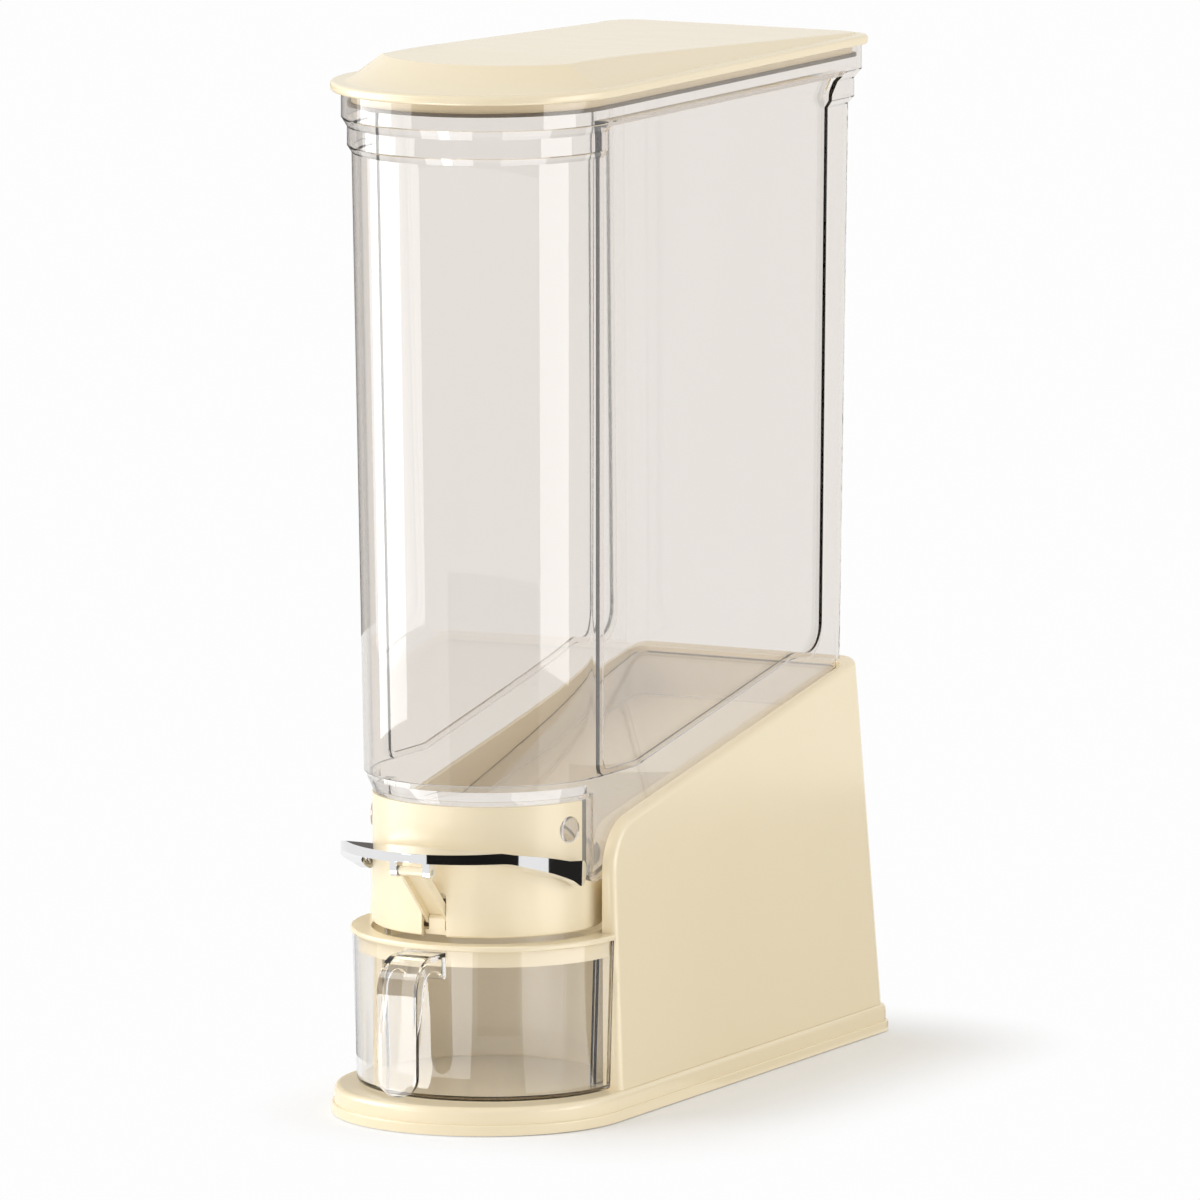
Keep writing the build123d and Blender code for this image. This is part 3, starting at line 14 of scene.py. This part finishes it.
import bmesh
import bpy
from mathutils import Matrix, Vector


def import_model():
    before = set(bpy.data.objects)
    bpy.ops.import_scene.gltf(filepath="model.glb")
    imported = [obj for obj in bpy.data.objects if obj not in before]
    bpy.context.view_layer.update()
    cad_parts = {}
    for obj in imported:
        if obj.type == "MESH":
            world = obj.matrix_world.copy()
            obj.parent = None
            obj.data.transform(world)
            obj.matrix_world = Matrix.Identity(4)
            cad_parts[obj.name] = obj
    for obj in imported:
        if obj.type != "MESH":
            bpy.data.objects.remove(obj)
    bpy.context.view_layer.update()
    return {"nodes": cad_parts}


LOG = logging.getLogger("rice_dispenser")
Colour = tuple[float, float, float]
Place = tuple[float, float, float]
WHITE: Colour = (1.0, 1.0, 1.0)
UNSTRETCHED: Place = (1.0, 1.0, 1.0)
COLOUR_LOW, COLOUR_HIGH, COLOUR_OUT = 6, 7, 2  # a Mix node's sockets for two colours and their mix


# Shader maths


class Wire:
    """A number that flows through a material, with Python's operators as Math nodes."""

    def __init__(self, graph: "Graph", socket: bpy.types.NodeSocket) -> None:
        """Keep the graph to add nodes to and the socket that carries the number."""
        self.graph = graph
        self.socket = socket

    def _math(self, operation: str, first: "Signal", second: "Signal") -> "Wire":
        """Add one Math node.

        Args:
            operation: The Math node's operation.
            first: The value or wire of its first socket.
            second: The value or wire of its second socket.

        Returns:
            The wire that carries the result.
        """
        node = self.graph.node("ShaderNodeMath", {"operation": operation}, {0: first, 1: second})
        return Wire(self.graph, node.outputs[0])

    def __add__(self, other: "Signal") -> "Wire":
        """Sum of this and another number."""
        return self._math("ADD", self, other)

    def __radd__(self, other: "Signal") -> "Wire":
        """Sum of another number and this."""
        return self._math("ADD", other, self)

    def __sub__(self, other: "Signal") -> "Wire":
        """This less another number."""
        return self._math("SUBTRACT", self, other)

    def __rsub__(self, other: "Signal") -> "Wire":
        """Another number less this."""
        return self._math("SUBTRACT", other, self)

    def __mul__(self, other: "Signal") -> "Wire":
        """Product of this and another number."""
        return self._math("MULTIPLY", self, other)

    def __rmul__(self, other: "Signal") -> "Wire":
        """Product of another number and this."""
        return self._math("MULTIPLY", other, self)

    def __pow__(self, other: "Signal") -> "Wire":
        """This raised to a power."""
        return self._math("POWER", self, other)

    def __rpow__(self, other: "Signal") -> "Wire":
        """Another number raised to this power."""
        return self._math("POWER", other, self)

    def largest(self, other: "Signal") -> "Wire":
        """The larger of this and another number."""
        return self._math("MAXIMUM", self, other)

    def size(self) -> "Wire":
        """This number without its sign."""
        return self._math("ABSOLUTE", self, 0.0)


Signal = Union[Wire, bpy.types.NodeSocket, float, Colour]


class Graph:
    """The nodes of one material or of the world."""

    def __init__(self, tree: bpy.types.ShaderNodeTree) -> None:
        """Start from an empty node tree."""
        self.tree = tree
        tree.nodes.clear()

    def node(
        self,
        kind: str,
        settings: Optional[Mapping[str, object]] = None,
        inputs: Optional[Mapping[Union[int, str], Signal]] = None,
    ) -> bpy.types.Node:
        """Add one node.

        Args:
            kind: The node's type.
            settings: Its properties, set first.
            inputs: Its sockets' values, or the wires and sockets linked to them.

        Returns:
            The new node.
        """
        made = self.tree.nodes.new(kind)
        for name, value in (settings or {}).items():
            setattr(made, name, value)
        for key, value in (inputs or {}).items():
            self.feed(made.inputs[key], value)
        return made

    def feed(self, socket: bpy.types.NodeSocket, value: Signal) -> None:
        """Set a socket to a constant, or link it to a wire or another socket.

        Args:
            socket: The socket to feed.
            value: The constant, or the wire or socket that it is linked to.
        """
        source = value.socket if isinstance(value, Wire) else value
        if isinstance(source, bpy.types.NodeSocket):
            self.tree.links.new(source, socket)
        elif socket.type == "RGBA":
            socket.default_value = (*source, 1.0)
        else:
            socket.default_value = source

    def place(self, stretch: Place = UNSTRETCHED) -> bpy.types.NodeSocket:
        """Object coordinates in metres, stretched along each axis.

        Args:
            stretch: Factor on the coordinates along each axis.

        Returns:
            The socket with the coordinates.
        """
        coordinates = self.node("ShaderNodeTexCoord").outputs["Object"]
        mapping = self.node(
            "ShaderNodeMapping", {"vector_type": "POINT"},
            {"Vector": coordinates, "Scale": stretch},
        )
        return mapping.outputs["Vector"]

    def noise(self, per_metre: float, detail: float = 2.0, stretch: Place = UNSTRETCHED) -> Wire:
        """Soft noise between 0 and 1.

        Args:
            per_metre: How many waves fit in a metre.
            detail: How many finer octaves are laid over it.
            stretch: Factor on the coordinates along each axis.

        Returns:
            The noise as a wire.
        """
        made = self.node("ShaderNodeTexNoise", {"noise_dimensions": "3D"}, {
            "Vector": self.place(stretch),
            "Scale": per_metre,
            "Detail": detail,
            "Roughness": 0.5,
        })
        return Wire(self, made.outputs["Fac"])

    def blend(self, amount: Signal, low: Signal, high: Signal) -> bpy.types.NodeSocket:
        """Mix two colours.

        Args:
            amount: Share of the second colour, from 0 to 1.
            low: The first colour.
            high: The second colour.

        Returns:
            The socket with the mixed colour.
        """
        made = self.node(
            "ShaderNodeMix", {"data_type": "RGBA"},
            {0: amount, COLOUR_LOW: low, COLOUR_HIGH: high},
        )
        return made.outputs[COLOUR_OUT]

    def bump(self, height: Signal, depth: float) -> bpy.types.NodeSocket:
        """Turn a height into a normal.

        Args:
            height: The height as a number over the surface.
            depth: How deep a height of 1 is, in metres.

        Returns:
            The socket with the normal.
        """
        made = self.node("ShaderNodeBump", {}, {
            "Height": height,
            "Distance": depth,
            "Strength": 1.0,
        })
        return made.outputs["Normal"]

    def mix_shaders(
        self,
        amount: Signal,
        first: bpy.types.Node,
        second: bpy.types.Node,
    ) -> bpy.types.NodeSocket:
        """Mix two shader nodes.

        Args:
            amount: Share of the second shader, from 0 to 1.
            first: The node of the first shader.
            second: The node of the second shader.

        Returns:
            The socket with the mixed shader.
        """
        made = self.node("ShaderNodeMixShader", {}, {
            0: amount,
            1: first.outputs[0],
            2: second.outputs[0],
        })
        return made.outputs[0]

    def rays(self, *kinds: str) -> Wire:
        """Tell rays of some kinds from all others.

        Args:
            kinds: The kinds as the Light Path node names them, such as Glossy.

        Returns:
            One for rays of any of the kinds, and zero for others.
        """
        path = self.node("ShaderNodeLightPath")
        seen = Wire(self, path.outputs[f"Is {kinds[0]} Ray"])
        for kind in kinds[1:]:
            seen = seen.largest(path.outputs[f"Is {kind} Ray"])
        return seen

    def finish(
        self,
        shader: bpy.types.NodeSocket,
        inside: Optional[bpy.types.NodeSocket] = None,
        kind: str = "ShaderNodeOutputMaterial",
    ) -> None:
        """Link a shader, and a volume where there is one, to the output.

        Args:
            shader: The surface's shader.
            inside: The volume's shader.
            kind: The output node's type.
        """
        sockets = {"Surface": shader}
        if inside is not None:
            sockets["Volume"] = inside
        self.node(kind, {}, sockets)


def new_graph(name: str) -> tuple[bpy.types.Material, Graph]:
    """Make a material.

    Args:
        name: The material's name.

    Returns:
        The material and its empty graph.
    """
    material = bpy.data.materials.new(name)
    material.use_nodes = True
    return material, Graph(material.node_tree)


def scaled(colour: Colour, factor: float) -> Colour:
    """A colour with each part multiplied by a factor."""
    return tuple(factor * part for part in colour)


def paled(colour: Colour, share: float) -> Colour:
    """A colour moved towards white by a share from 0 to 1."""
    return tuple(share + (1.0 - share) * part for part in colour)


# Finishes


class Gloss(Enum):
    """How rough a moulded face came out of its tool."""

    SATIN = 0.21
    INNER = 0.42


@dataclass(frozen=True)
class MouldedCream:
    """Opaque cream plastic with a faint flow pattern and a fine skin."""

    name: str
    gloss: Gloss = Gloss.SATIN
    colour: Colour = (0.865, 0.748, 0.52)
    paler: Colour = (0.885, 0.772, 0.552)
    index: float = 1.5
    flow_per_metre: float = 9.0
    flow_stretch: Place = (1.0, 1.0, 0.45)
    skin_per_metre: float = 1400.0
    skin_roughness: float = 0.03
    skin_depth: float = 0.000012
    waves_per_metre: float = 38.0
    wave_roughness: float = 0.05
    wave_height: float = 2.0

    def make(self) -> bpy.types.Material:
        """Build the material.

        Returns:
            The new material.
        """
        material, graph = new_graph(self.name)
        flow = graph.noise(self.flow_per_metre, detail=3.0, stretch=self.flow_stretch)
        skin = graph.noise(self.skin_per_metre)
        waves = graph.noise(self.waves_per_metre, detail=1.0)
        roughness = self.gloss.value + self.wave_roughness * waves + self.skin_roughness * skin
        shader = graph.node("ShaderNodeBsdfPrincipled", {}, {
            "Base Color": graph.blend(flow, self.colour, self.paler),
            "Roughness": roughness,
            "IOR": self.index,
            "Normal": graph.bump(skin + self.wave_height * waves, self.skin_depth),
        })
        graph.finish(shader.outputs[0])
        return material


@dataclass(frozen=True)
class ClearPlastic:
    """Clear moulded plastic that bends light, darkens with depth and lets lamps through."""

    name: str
    tint: Colour = (0.95, 0.937, 0.925)
    paler_share: float = 0.3
    depth_tint: Colour = (0.60, 0.50, 0.38)
    density: float = 60.0
    shade: Colour = (0.998, 0.997, 0.996)
    milk: float = 0.0
    index: float = 1.49
    roughness: float = 0.012
    grain_per_metre: float = 600.0
    grain_roughness: float = 0.01
    waves_per_metre: float = 22.0
    wave_stretch: Place = (1.0, 1.0, 0.3)
    wave_depth: float = 0.00003

    def make(self) -> bpy.types.Material:
        """Build the material.

        Returns:
            The new material.
        """
        material, graph = new_graph(self.name)
        waves = graph.noise(self.waves_per_metre, detail=1.0, stretch=self.wave_stretch)
        grain = graph.noise(self.grain_per_metre)
        glassy = graph.node("ShaderNodeBsdfPrincipled", {}, {
            "Base Color": graph.blend(waves, self.tint, paled(self.tint, self.paler_share)),
            "Roughness": self.roughness + self.grain_roughness * grain,
            "IOR": self.index,
            "Transmission Weight": 1.0 - self.milk,
            "Normal": graph.bump(waves, self.wave_depth),
        })
        open_way = graph.node("ShaderNodeBsdfTransparent", {}, {"Color": self.shade})
        surface = graph.mix_shaders(graph.rays("Shadow", "Diffuse"), glassy, open_way)
        inside = graph.node("ShaderNodeVolumeAbsorption", {}, {
            "Color": self.depth_tint,
            "Density": self.density,
        })
        graph.finish(surface, inside.outputs[0])
        return material


@dataclass(frozen=True)
class PlatedMetal:
    """Bright plating with the faintest haze."""

    name: str
    colour: Colour = (0.80, 0.80, 0.81)
    darker: float = 0.97
    roughness: float = 0.035
    haze_per_metre: float = 70.0
    haze_roughness: float = 0.03
    waves_per_metre: float = 45.0
    wave_depth: float = 0.00001

    def make(self) -> bpy.types.Material:
        """Build the material.

        Returns:
            The new material.
        """
        material, graph = new_graph(self.name)
        haze = graph.noise(self.haze_per_metre, detail=3.0)
        waves = graph.noise(self.waves_per_metre, detail=1.0)
        shader = graph.node("ShaderNodeBsdfPrincipled", {}, {
            "Base Color": graph.blend(haze, self.colour, scaled(self.colour, self.darker)),
            "Metallic": 1.0,
            "Roughness": self.roughness + self.haze_roughness * haze,
            "Normal": graph.bump(waves, self.wave_depth),
        })
        graph.finish(shader.outputs[0])
        return material


@dataclass(frozen=True)
class DrawnSteel:
    """Plain steel with fine lines along the width, as on drawn pins and wire."""

    name: str
    colour: Colour = (0.60, 0.60, 0.61)
    darker: float = 0.85
    roughness: float = 0.26
    lines_per_metre: float = 2500.0
    line_stretch: Place = (0.06, 1.0, 1.0)
    line_roughness: float = 0.12
    line_depth: float = 0.000006

    def make(self) -> bpy.types.Material:
        """Build the material.

        Returns:
            The new material.
        """
        material, graph = new_graph(self.name)
        lines = graph.noise(self.lines_per_metre, detail=3.0, stretch=self.line_stretch)
        shader = graph.node("ShaderNodeBsdfPrincipled", {}, {
            "Base Color": graph.blend(lines, scaled(self.colour, self.darker), self.colour),
            "Metallic": 1.0,
            "Roughness": self.roughness + self.line_roughness * lines,
            "Normal": graph.bump(lines, self.line_depth),
        })
        graph.finish(shader.outputs[0])
        return material


@dataclass(frozen=True)
class SoftSeal:
    """Matt soft seal or rubber with a faintly cloudy colour and a dusty skin."""

    name: str
    colour: Colour
    roughness: float = 0.48
    paler: float = 1.08
    index: float = 1.41
    clouds_per_metre: float = 60.0
    dust_per_metre: float = 1800.0
    dust_roughness: float = 0.12
    dust_depth: float = 0.00001

    def make(self) -> bpy.types.Material:
        """Build the material.

        Returns:
            The new material.
        """
        material, graph = new_graph(self.name)
        clouds = graph.noise(self.clouds_per_metre, detail=3.0)
        dust = graph.noise(self.dust_per_metre)
        shader = graph.node("ShaderNodeBsdfPrincipled", {}, {
            "Base Color": graph.blend(clouds, self.colour, scaled(self.colour, self.paler)),
            "Roughness": self.roughness + self.dust_roughness * dust,
            "IOR": self.index,
            "Normal": graph.bump(dust, self.dust_depth),
        })
        graph.finish(shader.outputs[0])
        return material


Finish = Union[MouldedCream, ClearPlastic, PlatedMetal, DrawnSteel, SoftSeal]


@dataclass(frozen=True)
class Finishes:
    """Every finish of the object."""

    cream: MouldedCream = MouldedCream("cream_outer")
    cream_inner: MouldedCream = MouldedCream("cream_inner", Gloss.INNER)
    clear: ClearPlastic = ClearPlastic("clear_container")
    clear_hopper: ClearPlastic = ClearPlastic(
        "clear_hopper", (0.94, 0.925, 0.905), density=22.0, milk=0.09
    )
    clear_cup: ClearPlastic = ClearPlastic("clear_cup", (0.985, 0.98, 0.97), density=12.0)
    plated: PlatedMetal = PlatedMetal("plated_lever")
    steel: DrawnSteel = DrawnSteel("drawn_steel")
    seal: SoftSeal = SoftSeal("soft_seal", (0.14, 0.115, 0.08))
    foot: SoftSeal = SoftSeal("foot_rubber", (0.035, 0.034, 0.033), 0.62)


class Wardrobe:
    """Makes each finish at its first use and hands it out again after that."""

    def __init__(self) -> None:
        """Start with no material made."""
        self._made: dict[str, bpy.types.Material] = {}

    def dress(self, piece: bpy.types.Object, finish: Finish) -> None:
        """Give a piece one finish in its only slot.

        Args:
            piece: The piece to dress.
            finish: Its finish.
        """
        if finish.name not in self._made:
            self._made[finish.name] = finish.make()
        piece.data.materials.clear()
        piece.data.materials.append(self._made[finish.name])


# Sub-assemblies


@dataclass
class Assembly:
    """One sub-assembly and the CAD nodes that it dresses."""

    nodes: Mapping[str, bpy.types.Object]
    wardrobe: Wardrobe
    finishes: Finishes
    pieces: list[bpy.types.Object] = field(default_factory=list)

    def dress_node(self, name: str, finish: Finish) -> None:
        """Give a CAD node its finish and note it.

        Args:
            name: The node's name.
            finish: Its finish.
        """
        piece = self.nodes[name]
        self.wardrobe.dress(piece, finish)
        self.pieces.append(piece)

    def build(self) -> list[bpy.types.Object]:
        """Dress the nodes.

        Returns:
            The nodes of this sub-assembly.
        """
        raise NotImplementedError


class Stand(Assembly):
    """Plinth, housing, feet and screws."""

    def build(self) -> list[bpy.types.Object]:
        """Dress the stand.

        Returns:
            The nodes of this sub-assembly.
        """
        self.dress_node("stand_housing", self.finishes.cream)
        self.dress_node("base_plinth", self.finishes.cream)
        self.dress_node("rubber_feet", self.finishes.foot)
        self.dress_node("housing_screws", self.finishes.steel)
        return self.pieces


class Container(Assembly):
    """Clear container and hopper."""

    def build(self) -> list[bpy.types.Object]:
        """Dress the clear parts.

        Returns:
            The nodes of this sub-assembly.
        """
        self.dress_node("container_body", self.finishes.clear)
        self.dress_node("hopper", self.finishes.clear_hopper)
        return self.pieces


class Dispenser(Assembly):
    """Collar, chute and gasket under the hopper."""

    def build(self) -> list[bpy.types.Object]:
        """Dress the collar and what it holds.

        Returns:
            The nodes of this sub-assembly.
        """
        self.dress_node("dispensing_collar", self.finishes.cream)
        self.dress_node("chute_insert", self.finishes.cream_inner)
        self.dress_node("outlet_gasket", self.finishes.seal)
        return self.pieces


class Linkage(Assembly):
    """Lever, link, gate, pins and spring."""

    def build(self) -> list[bpy.types.Object]:
        """Dress the moving parts of the gate and the pins that they turn on.

        Returns:
            The nodes of this sub-assembly.
        """
        self.dress_node("lever", self.finishes.plated)
        self.dress_node("link_arm", self.finishes.cream)
        self.dress_node("gate_flap", self.finishes.cream_inner)
        self.dress_node("gate_seal", self.finishes.seal)
        self.dress_node("gate_hinge_pin", self.finishes.steel)
        self.dress_node("return_spring", self.finishes.steel)
        self.dress_node("lever_pivot_pins", self.finishes.steel)
        self.dress_node("link_upper_pin", self.finishes.steel)
        self.dress_node("link_lower_pin", self.finishes.steel)
        return self.pieces


class MeasuringCup(Assembly):
    """Clear cup with its handle and ring."""

    def build(self) -> list[bpy.types.Object]:
        """Dress the cup.

        Returns:
            The nodes of this sub-assembly.
        """
        self.dress_node("cup_body", self.finishes.clear_cup)
        self.dress_node("cup_handle", self.finishes.clear_cup)
        self.dress_node("cup_ring_cover", self.finishes.cream)
        return self.pieces


class Lid(Assembly):
    """Lid, liner and seal."""

    def build(self) -> list[bpy.types.Object]:
        """Dress the lid.

        Returns:
            The nodes of this sub-assembly.
        """
        self.dress_node("lid_shell", self.finishes.cream)
        self.dress_node("lid_liner", self.finishes.cream_inner)
        self.dress_node("lid_seal", self.finishes.seal)
        return self.pieces


# Studio


def add_object(name: str, data: bpy.types.ID) -> bpy.types.Object:
    """Put a new object in the scene.

    Args:
        name: The object's name.
        data: The mesh, lamp or camera that it shows.

    Returns:
        The new object.
    """
    made = bpy.data.objects.new(name, data)
    bpy.context.scene.collection.objects.link(made)
    return made


def add_mesh(name: str, shape: bmesh.types.BMesh) -> bpy.types.Object:
    """Put a new mesh object in the scene.

    Args:
        name: The object's name, and its mesh's.
        shape: The bmesh with its shape, which is freed.

    Returns:
        The new object.
    """
    mesh = bpy.data.meshes.new(name)
    shape.to_mesh(mesh)
    shape.free()
    return add_object(name, mesh)


def face(thing: bpy.types.Object, place: Place, target: Place) -> None:
    """Put a lamp or a camera at a place and turn it to a target."""
    thing.location = place
    thing.rotation_euler = (Vector(target) - Vector(place)).to_track_quat("-Z", "Y").to_euler()


@dataclass(frozen=True)
class SoftLamp:
    """A rectangular lamp that faces a point."""

    name: str
    place: Place
    target: Place
    width: float
    height: float
    watts: float

    def make(self) -> None:
        """Build the lamp."""
        light = bpy.data.lights.new(self.name, "AREA")
        light.shape = "RECTANGLE"
        light.size, light.size_y = self.width, self.height
        light.energy = self.watts
        lamp = add_object(self.name, light)
        face(lamp, self.place, self.target)
        lamp.visible_camera = lamp.visible_transmission = False


@dataclass(frozen=True)
class Screen:
    """A curved screen that only reflections see: a flat mat, and a wall that rises from its end.

    Its angles run from the front towards the right, about the middle of the measuring cup. The mat
    reaches from near to far and lies at the height low, and the wall ends at height. A screen that
    is all mat has next to no wall, and one that is all wall has a narrow mat.
    """

    name: str
    start: float
    end: float
    near: float
    far: float
    height: float
    low: float = 0.002
    colour: Colour = (0.012, 0.011, 0.010)
    strength: float = 1.0
    middle: Place = (0.0, -0.1, 0.0)
    steps: int = 24

    def make(self) -> None:
        """Build the screen as a bent line spun about the upright axis."""
        shape = bmesh.new()
        first = radians(self.start - 90.0)
        outward = Vector((cos(first), sin(first), 0.0))
        upward = Vector((0.0, 0.0, 1.0))
        bends = [
            self.near * outward + self.low * upward,
            self.far * outward + self.low * upward,
            self.far * outward + self.height * upward,
        ]
        line = [shape.verts.new(Vector(self.middle) + bend) for bend in bends]
        edges = [shape.edges.new(pair) for pair in zip(line, line[1:])]
        bmesh.ops.spin(
            shape, geom=[*line, *edges], cent=self.middle, axis=upward,
            angle=radians(self.end - self.start), steps=self.steps, use_merge=False,
        )
        screen = add_mesh(self.name, shape)
        material, graph = new_graph(self.name)
        glow = graph.node("ShaderNodeEmission", {}, {
            "Color": self.colour,
            "Strength": self.strength,
        })
        graph.finish(glow.outputs[0])
        screen.data.materials.append(material)
        screen.visible_camera = screen.visible_diffuse = screen.visible_shadow = False
        screen.visible_transmission = screen.visible_volume_scatter = False


@dataclass(frozen=True)
class Studio:
    """Pale floor, soft light and the camera at the photograph's view."""

    eye: Place = (3.37657, -6.44305, 1.28858)
    aim: Place = (0.04922, -0.07842, 0.24713)
    lens_mm: float = 456.45
    sensor_mm: float = 36.0
    farthest_seen: float = 60.0
    floor_half: float = 20.0
    floor_colour: Colour = (0.93, 0.925, 0.92)
    floor_white: Colour = (0.985, 0.985, 0.985)
    shadow_middle: Place = (0.033, 0.015, 0.0)
    shadow_half: tuple[float, float] = (0.043, 0.130)
    shadow_reach: tuple[float, float] = (0.012, 0.115)
    least_white: float = 0.08
    sky_strength: float = 0.71
    sky_seen: Colour = (0.96, 0.96, 0.96)
    # Name, place, target, width, height, watts
    lamps: tuple[SoftLamp, ...] = (
        SoftLamp("key_lamp", (-1.7, -1.5, 1.9), (0.0, 0.0, 0.2), 1.3, 1.3, 25.0),
        SoftLamp("left_lamp", (-1.01, -0.43, 0.36), (0.0, 0.0, 0.3), 0.84, 0.66, 2.6),
        SoftLamp("front_lamp", (0.55, -2.4, 0.45), (0.0, -0.1, 0.08), 0.9, 0.7, 4.5),
        SoftLamp("side_lamp", (2.6, 0.9, 0.75), (0.0, 0.0, 0.15), 1.4, 1.2, 17.0),
    )
    # Name, start, end, near, far, height, and low where it isn't just above the floor
    screens: tuple[Screen, ...] = (
        Screen("dark_front_mat", 18.0, 50.0, 0.25, 0.61, 0.003),
        Screen("dark_front_low", -6.0, 74.0, 0.61, 0.62, 0.16),
        Screen("dark_front_high", -29.0, 75.0, 0.62, 0.63, 0.52, 0.37),
        Screen("dark_side_mat", 108.0, 168.0, 0.13, 0.45, 0.003, colour=(0.05, 0.047, 0.042)),
        Screen("dark_side_low", 104.0, 168.0, 0.45, 0.46, 0.10, colour=(0.02, 0.019, 0.018)),
        Screen("dark_left_mat", -125.0, -76.0, 0.16, 0.50, 0.003, colour=(0.25, 0.24, 0.23)),
        Screen("dark_left_high", -150.0, -91.0, 0.74, 0.75, 0.52, 0.12, (0.16, 0.15, 0.14)),
        Screen("white_right_mat", 52.0, 107.0, 0.13, 0.60, 0.003, colour=WHITE, strength=3.0),
        Screen("white_right_high", 77.0, 107.0, 1.24, 1.25, 0.48, colour=WHITE, strength=4.8),
        Screen("white_left_mat", -45.0, 14.0, 0.16, 0.60, 0.003, colour=WHITE, strength=4.5),
        Screen("white_handle_mat", -26.0, -14.0, 0.12, 0.60, 0.005, 0.005, WHITE, 12.0),
        Screen("white_left_step", -50.0, -29.0, 1.30, 1.31, 0.44, colour=WHITE, strength=4.2),
        Screen("white_left_far_mat", -88.0, -50.0, 1.05, 1.29, 0.003, colour=WHITE, strength=6.0),
        Screen("white_left_high", -88.0, -50.0, 1.30, 1.31, 1.2, colour=WHITE, strength=7.0),
    )

    def camera(self) -> None:
        """Create the camera and make it the scene's."""
        data = bpy.data.cameras.new("camera")
        data.lens = self.lens_mm
        data.sensor_width = self.sensor_mm
        data.clip_end = self.farthest_seen
        camera = add_object("camera", data)
        face(camera, self.eye, self.aim)
        bpy.context.scene.camera = camera

    def _beyond_shadow(self, graph: Graph) -> Wire:
        """Measure how far the floor lies outside the block where the shadow is whole.

        Args:
            graph: The floor's graph.

        Returns:
            The distance in metres, and zero inside the block.
        """
        spot = graph.node(
            "ShaderNodeVectorMath", {"operation": "SUBTRACT"},
            {0: graph.place(), 1: self.shadow_middle},
        )
        parts = graph.node("ShaderNodeSeparateXYZ", {}, {0: spot.outputs[0]})
        across = (Wire(graph, parts.outputs["X"]).size() - self.shadow_half[0]).largest(0.0)
        along = (Wire(graph, parts.outputs["Y"]).size() - self.shadow_half[1]).largest(0.0)
        return (across * across + along * along) ** 0.5

    def floor(self) -> None:
        """A wide white floor that keeps the object's shadow and is plain white away from it."""
        shape = bmesh.new()
        bmesh.ops.create_grid(shape, x_segments=2, y_segments=2, size=self.floor_half)
        floor = add_mesh("floor", shape)
        material, graph = new_graph("floor_white")
        matt = graph.node("ShaderNodeBsdfDiffuse", {}, {"Color": self.floor_colour})
        white = graph.node("ShaderNodeEmission", {}, {"Color": self.floor_white, "Strength": 1.0})
        away = graph.node("ShaderNodeMapRange", {"interpolation_type": "SMOOTHSTEP"}, {
            "Value": self._beyond_shadow(graph),
            "From Min": self.shadow_reach[0],
            "From Max": self.shadow_reach[1],
            "To Min": self.least_white,
            "To Max": 1.0,
        })
        share = graph.rays("Camera", "Glossy", "Transmission") * Wire(graph, away.outputs[0])
        graph.finish(graph.mix_shaders(share, matt, white))
        floor.data.materials.append(material)

    def world(self) -> None:
        """An even sky, brighter where the camera, gloss and glass look at it."""
        world = bpy.data.worlds.new("studio_sky")
        bpy.context.scene.world = world
        world.use_nodes = True
        graph = Graph(world.node_tree)
        light = graph.node("ShaderNodeBackground", {}, {
            "Color": WHITE,
            "Strength": self.sky_strength,
        })
        back = graph.node("ShaderNodeBackground", {}, {"Color": self.sky_seen, "Strength": 1.0})
        seen = graph.rays("Camera", "Glossy", "Transmission")
        graph.finish(graph.mix_shaders(seen, light, back), kind="ShaderNodeOutputWorld")

    def build(self) -> None:
        """Set up everything that isn't the object."""
        self.camera()
        self.world()
        self.floor()
        for thing in (*self.lamps, *self.screens):
            thing.make()
        bpy.context.scene.view_settings.view_transform = "Standard"


def main() -> None:
    """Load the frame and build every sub-assembly in order."""
    logging.basicConfig(level=logging.INFO, format="%(name)s: %(message)s")
    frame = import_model()
    Studio().build()
    wardrobe, finishes = Wardrobe(), Finishes()
    for kind in (Stand, Container, Dispenser, Linkage, MeasuringCup, Lid):
        assembly = kind(frame["nodes"], wardrobe, finishes)
        for piece in assembly.build():
            LOG.info("%s: %s, %d faces", kind.__name__, piece.name, len(piece.data.polygons))


if __name__ == "__main__":
    main()
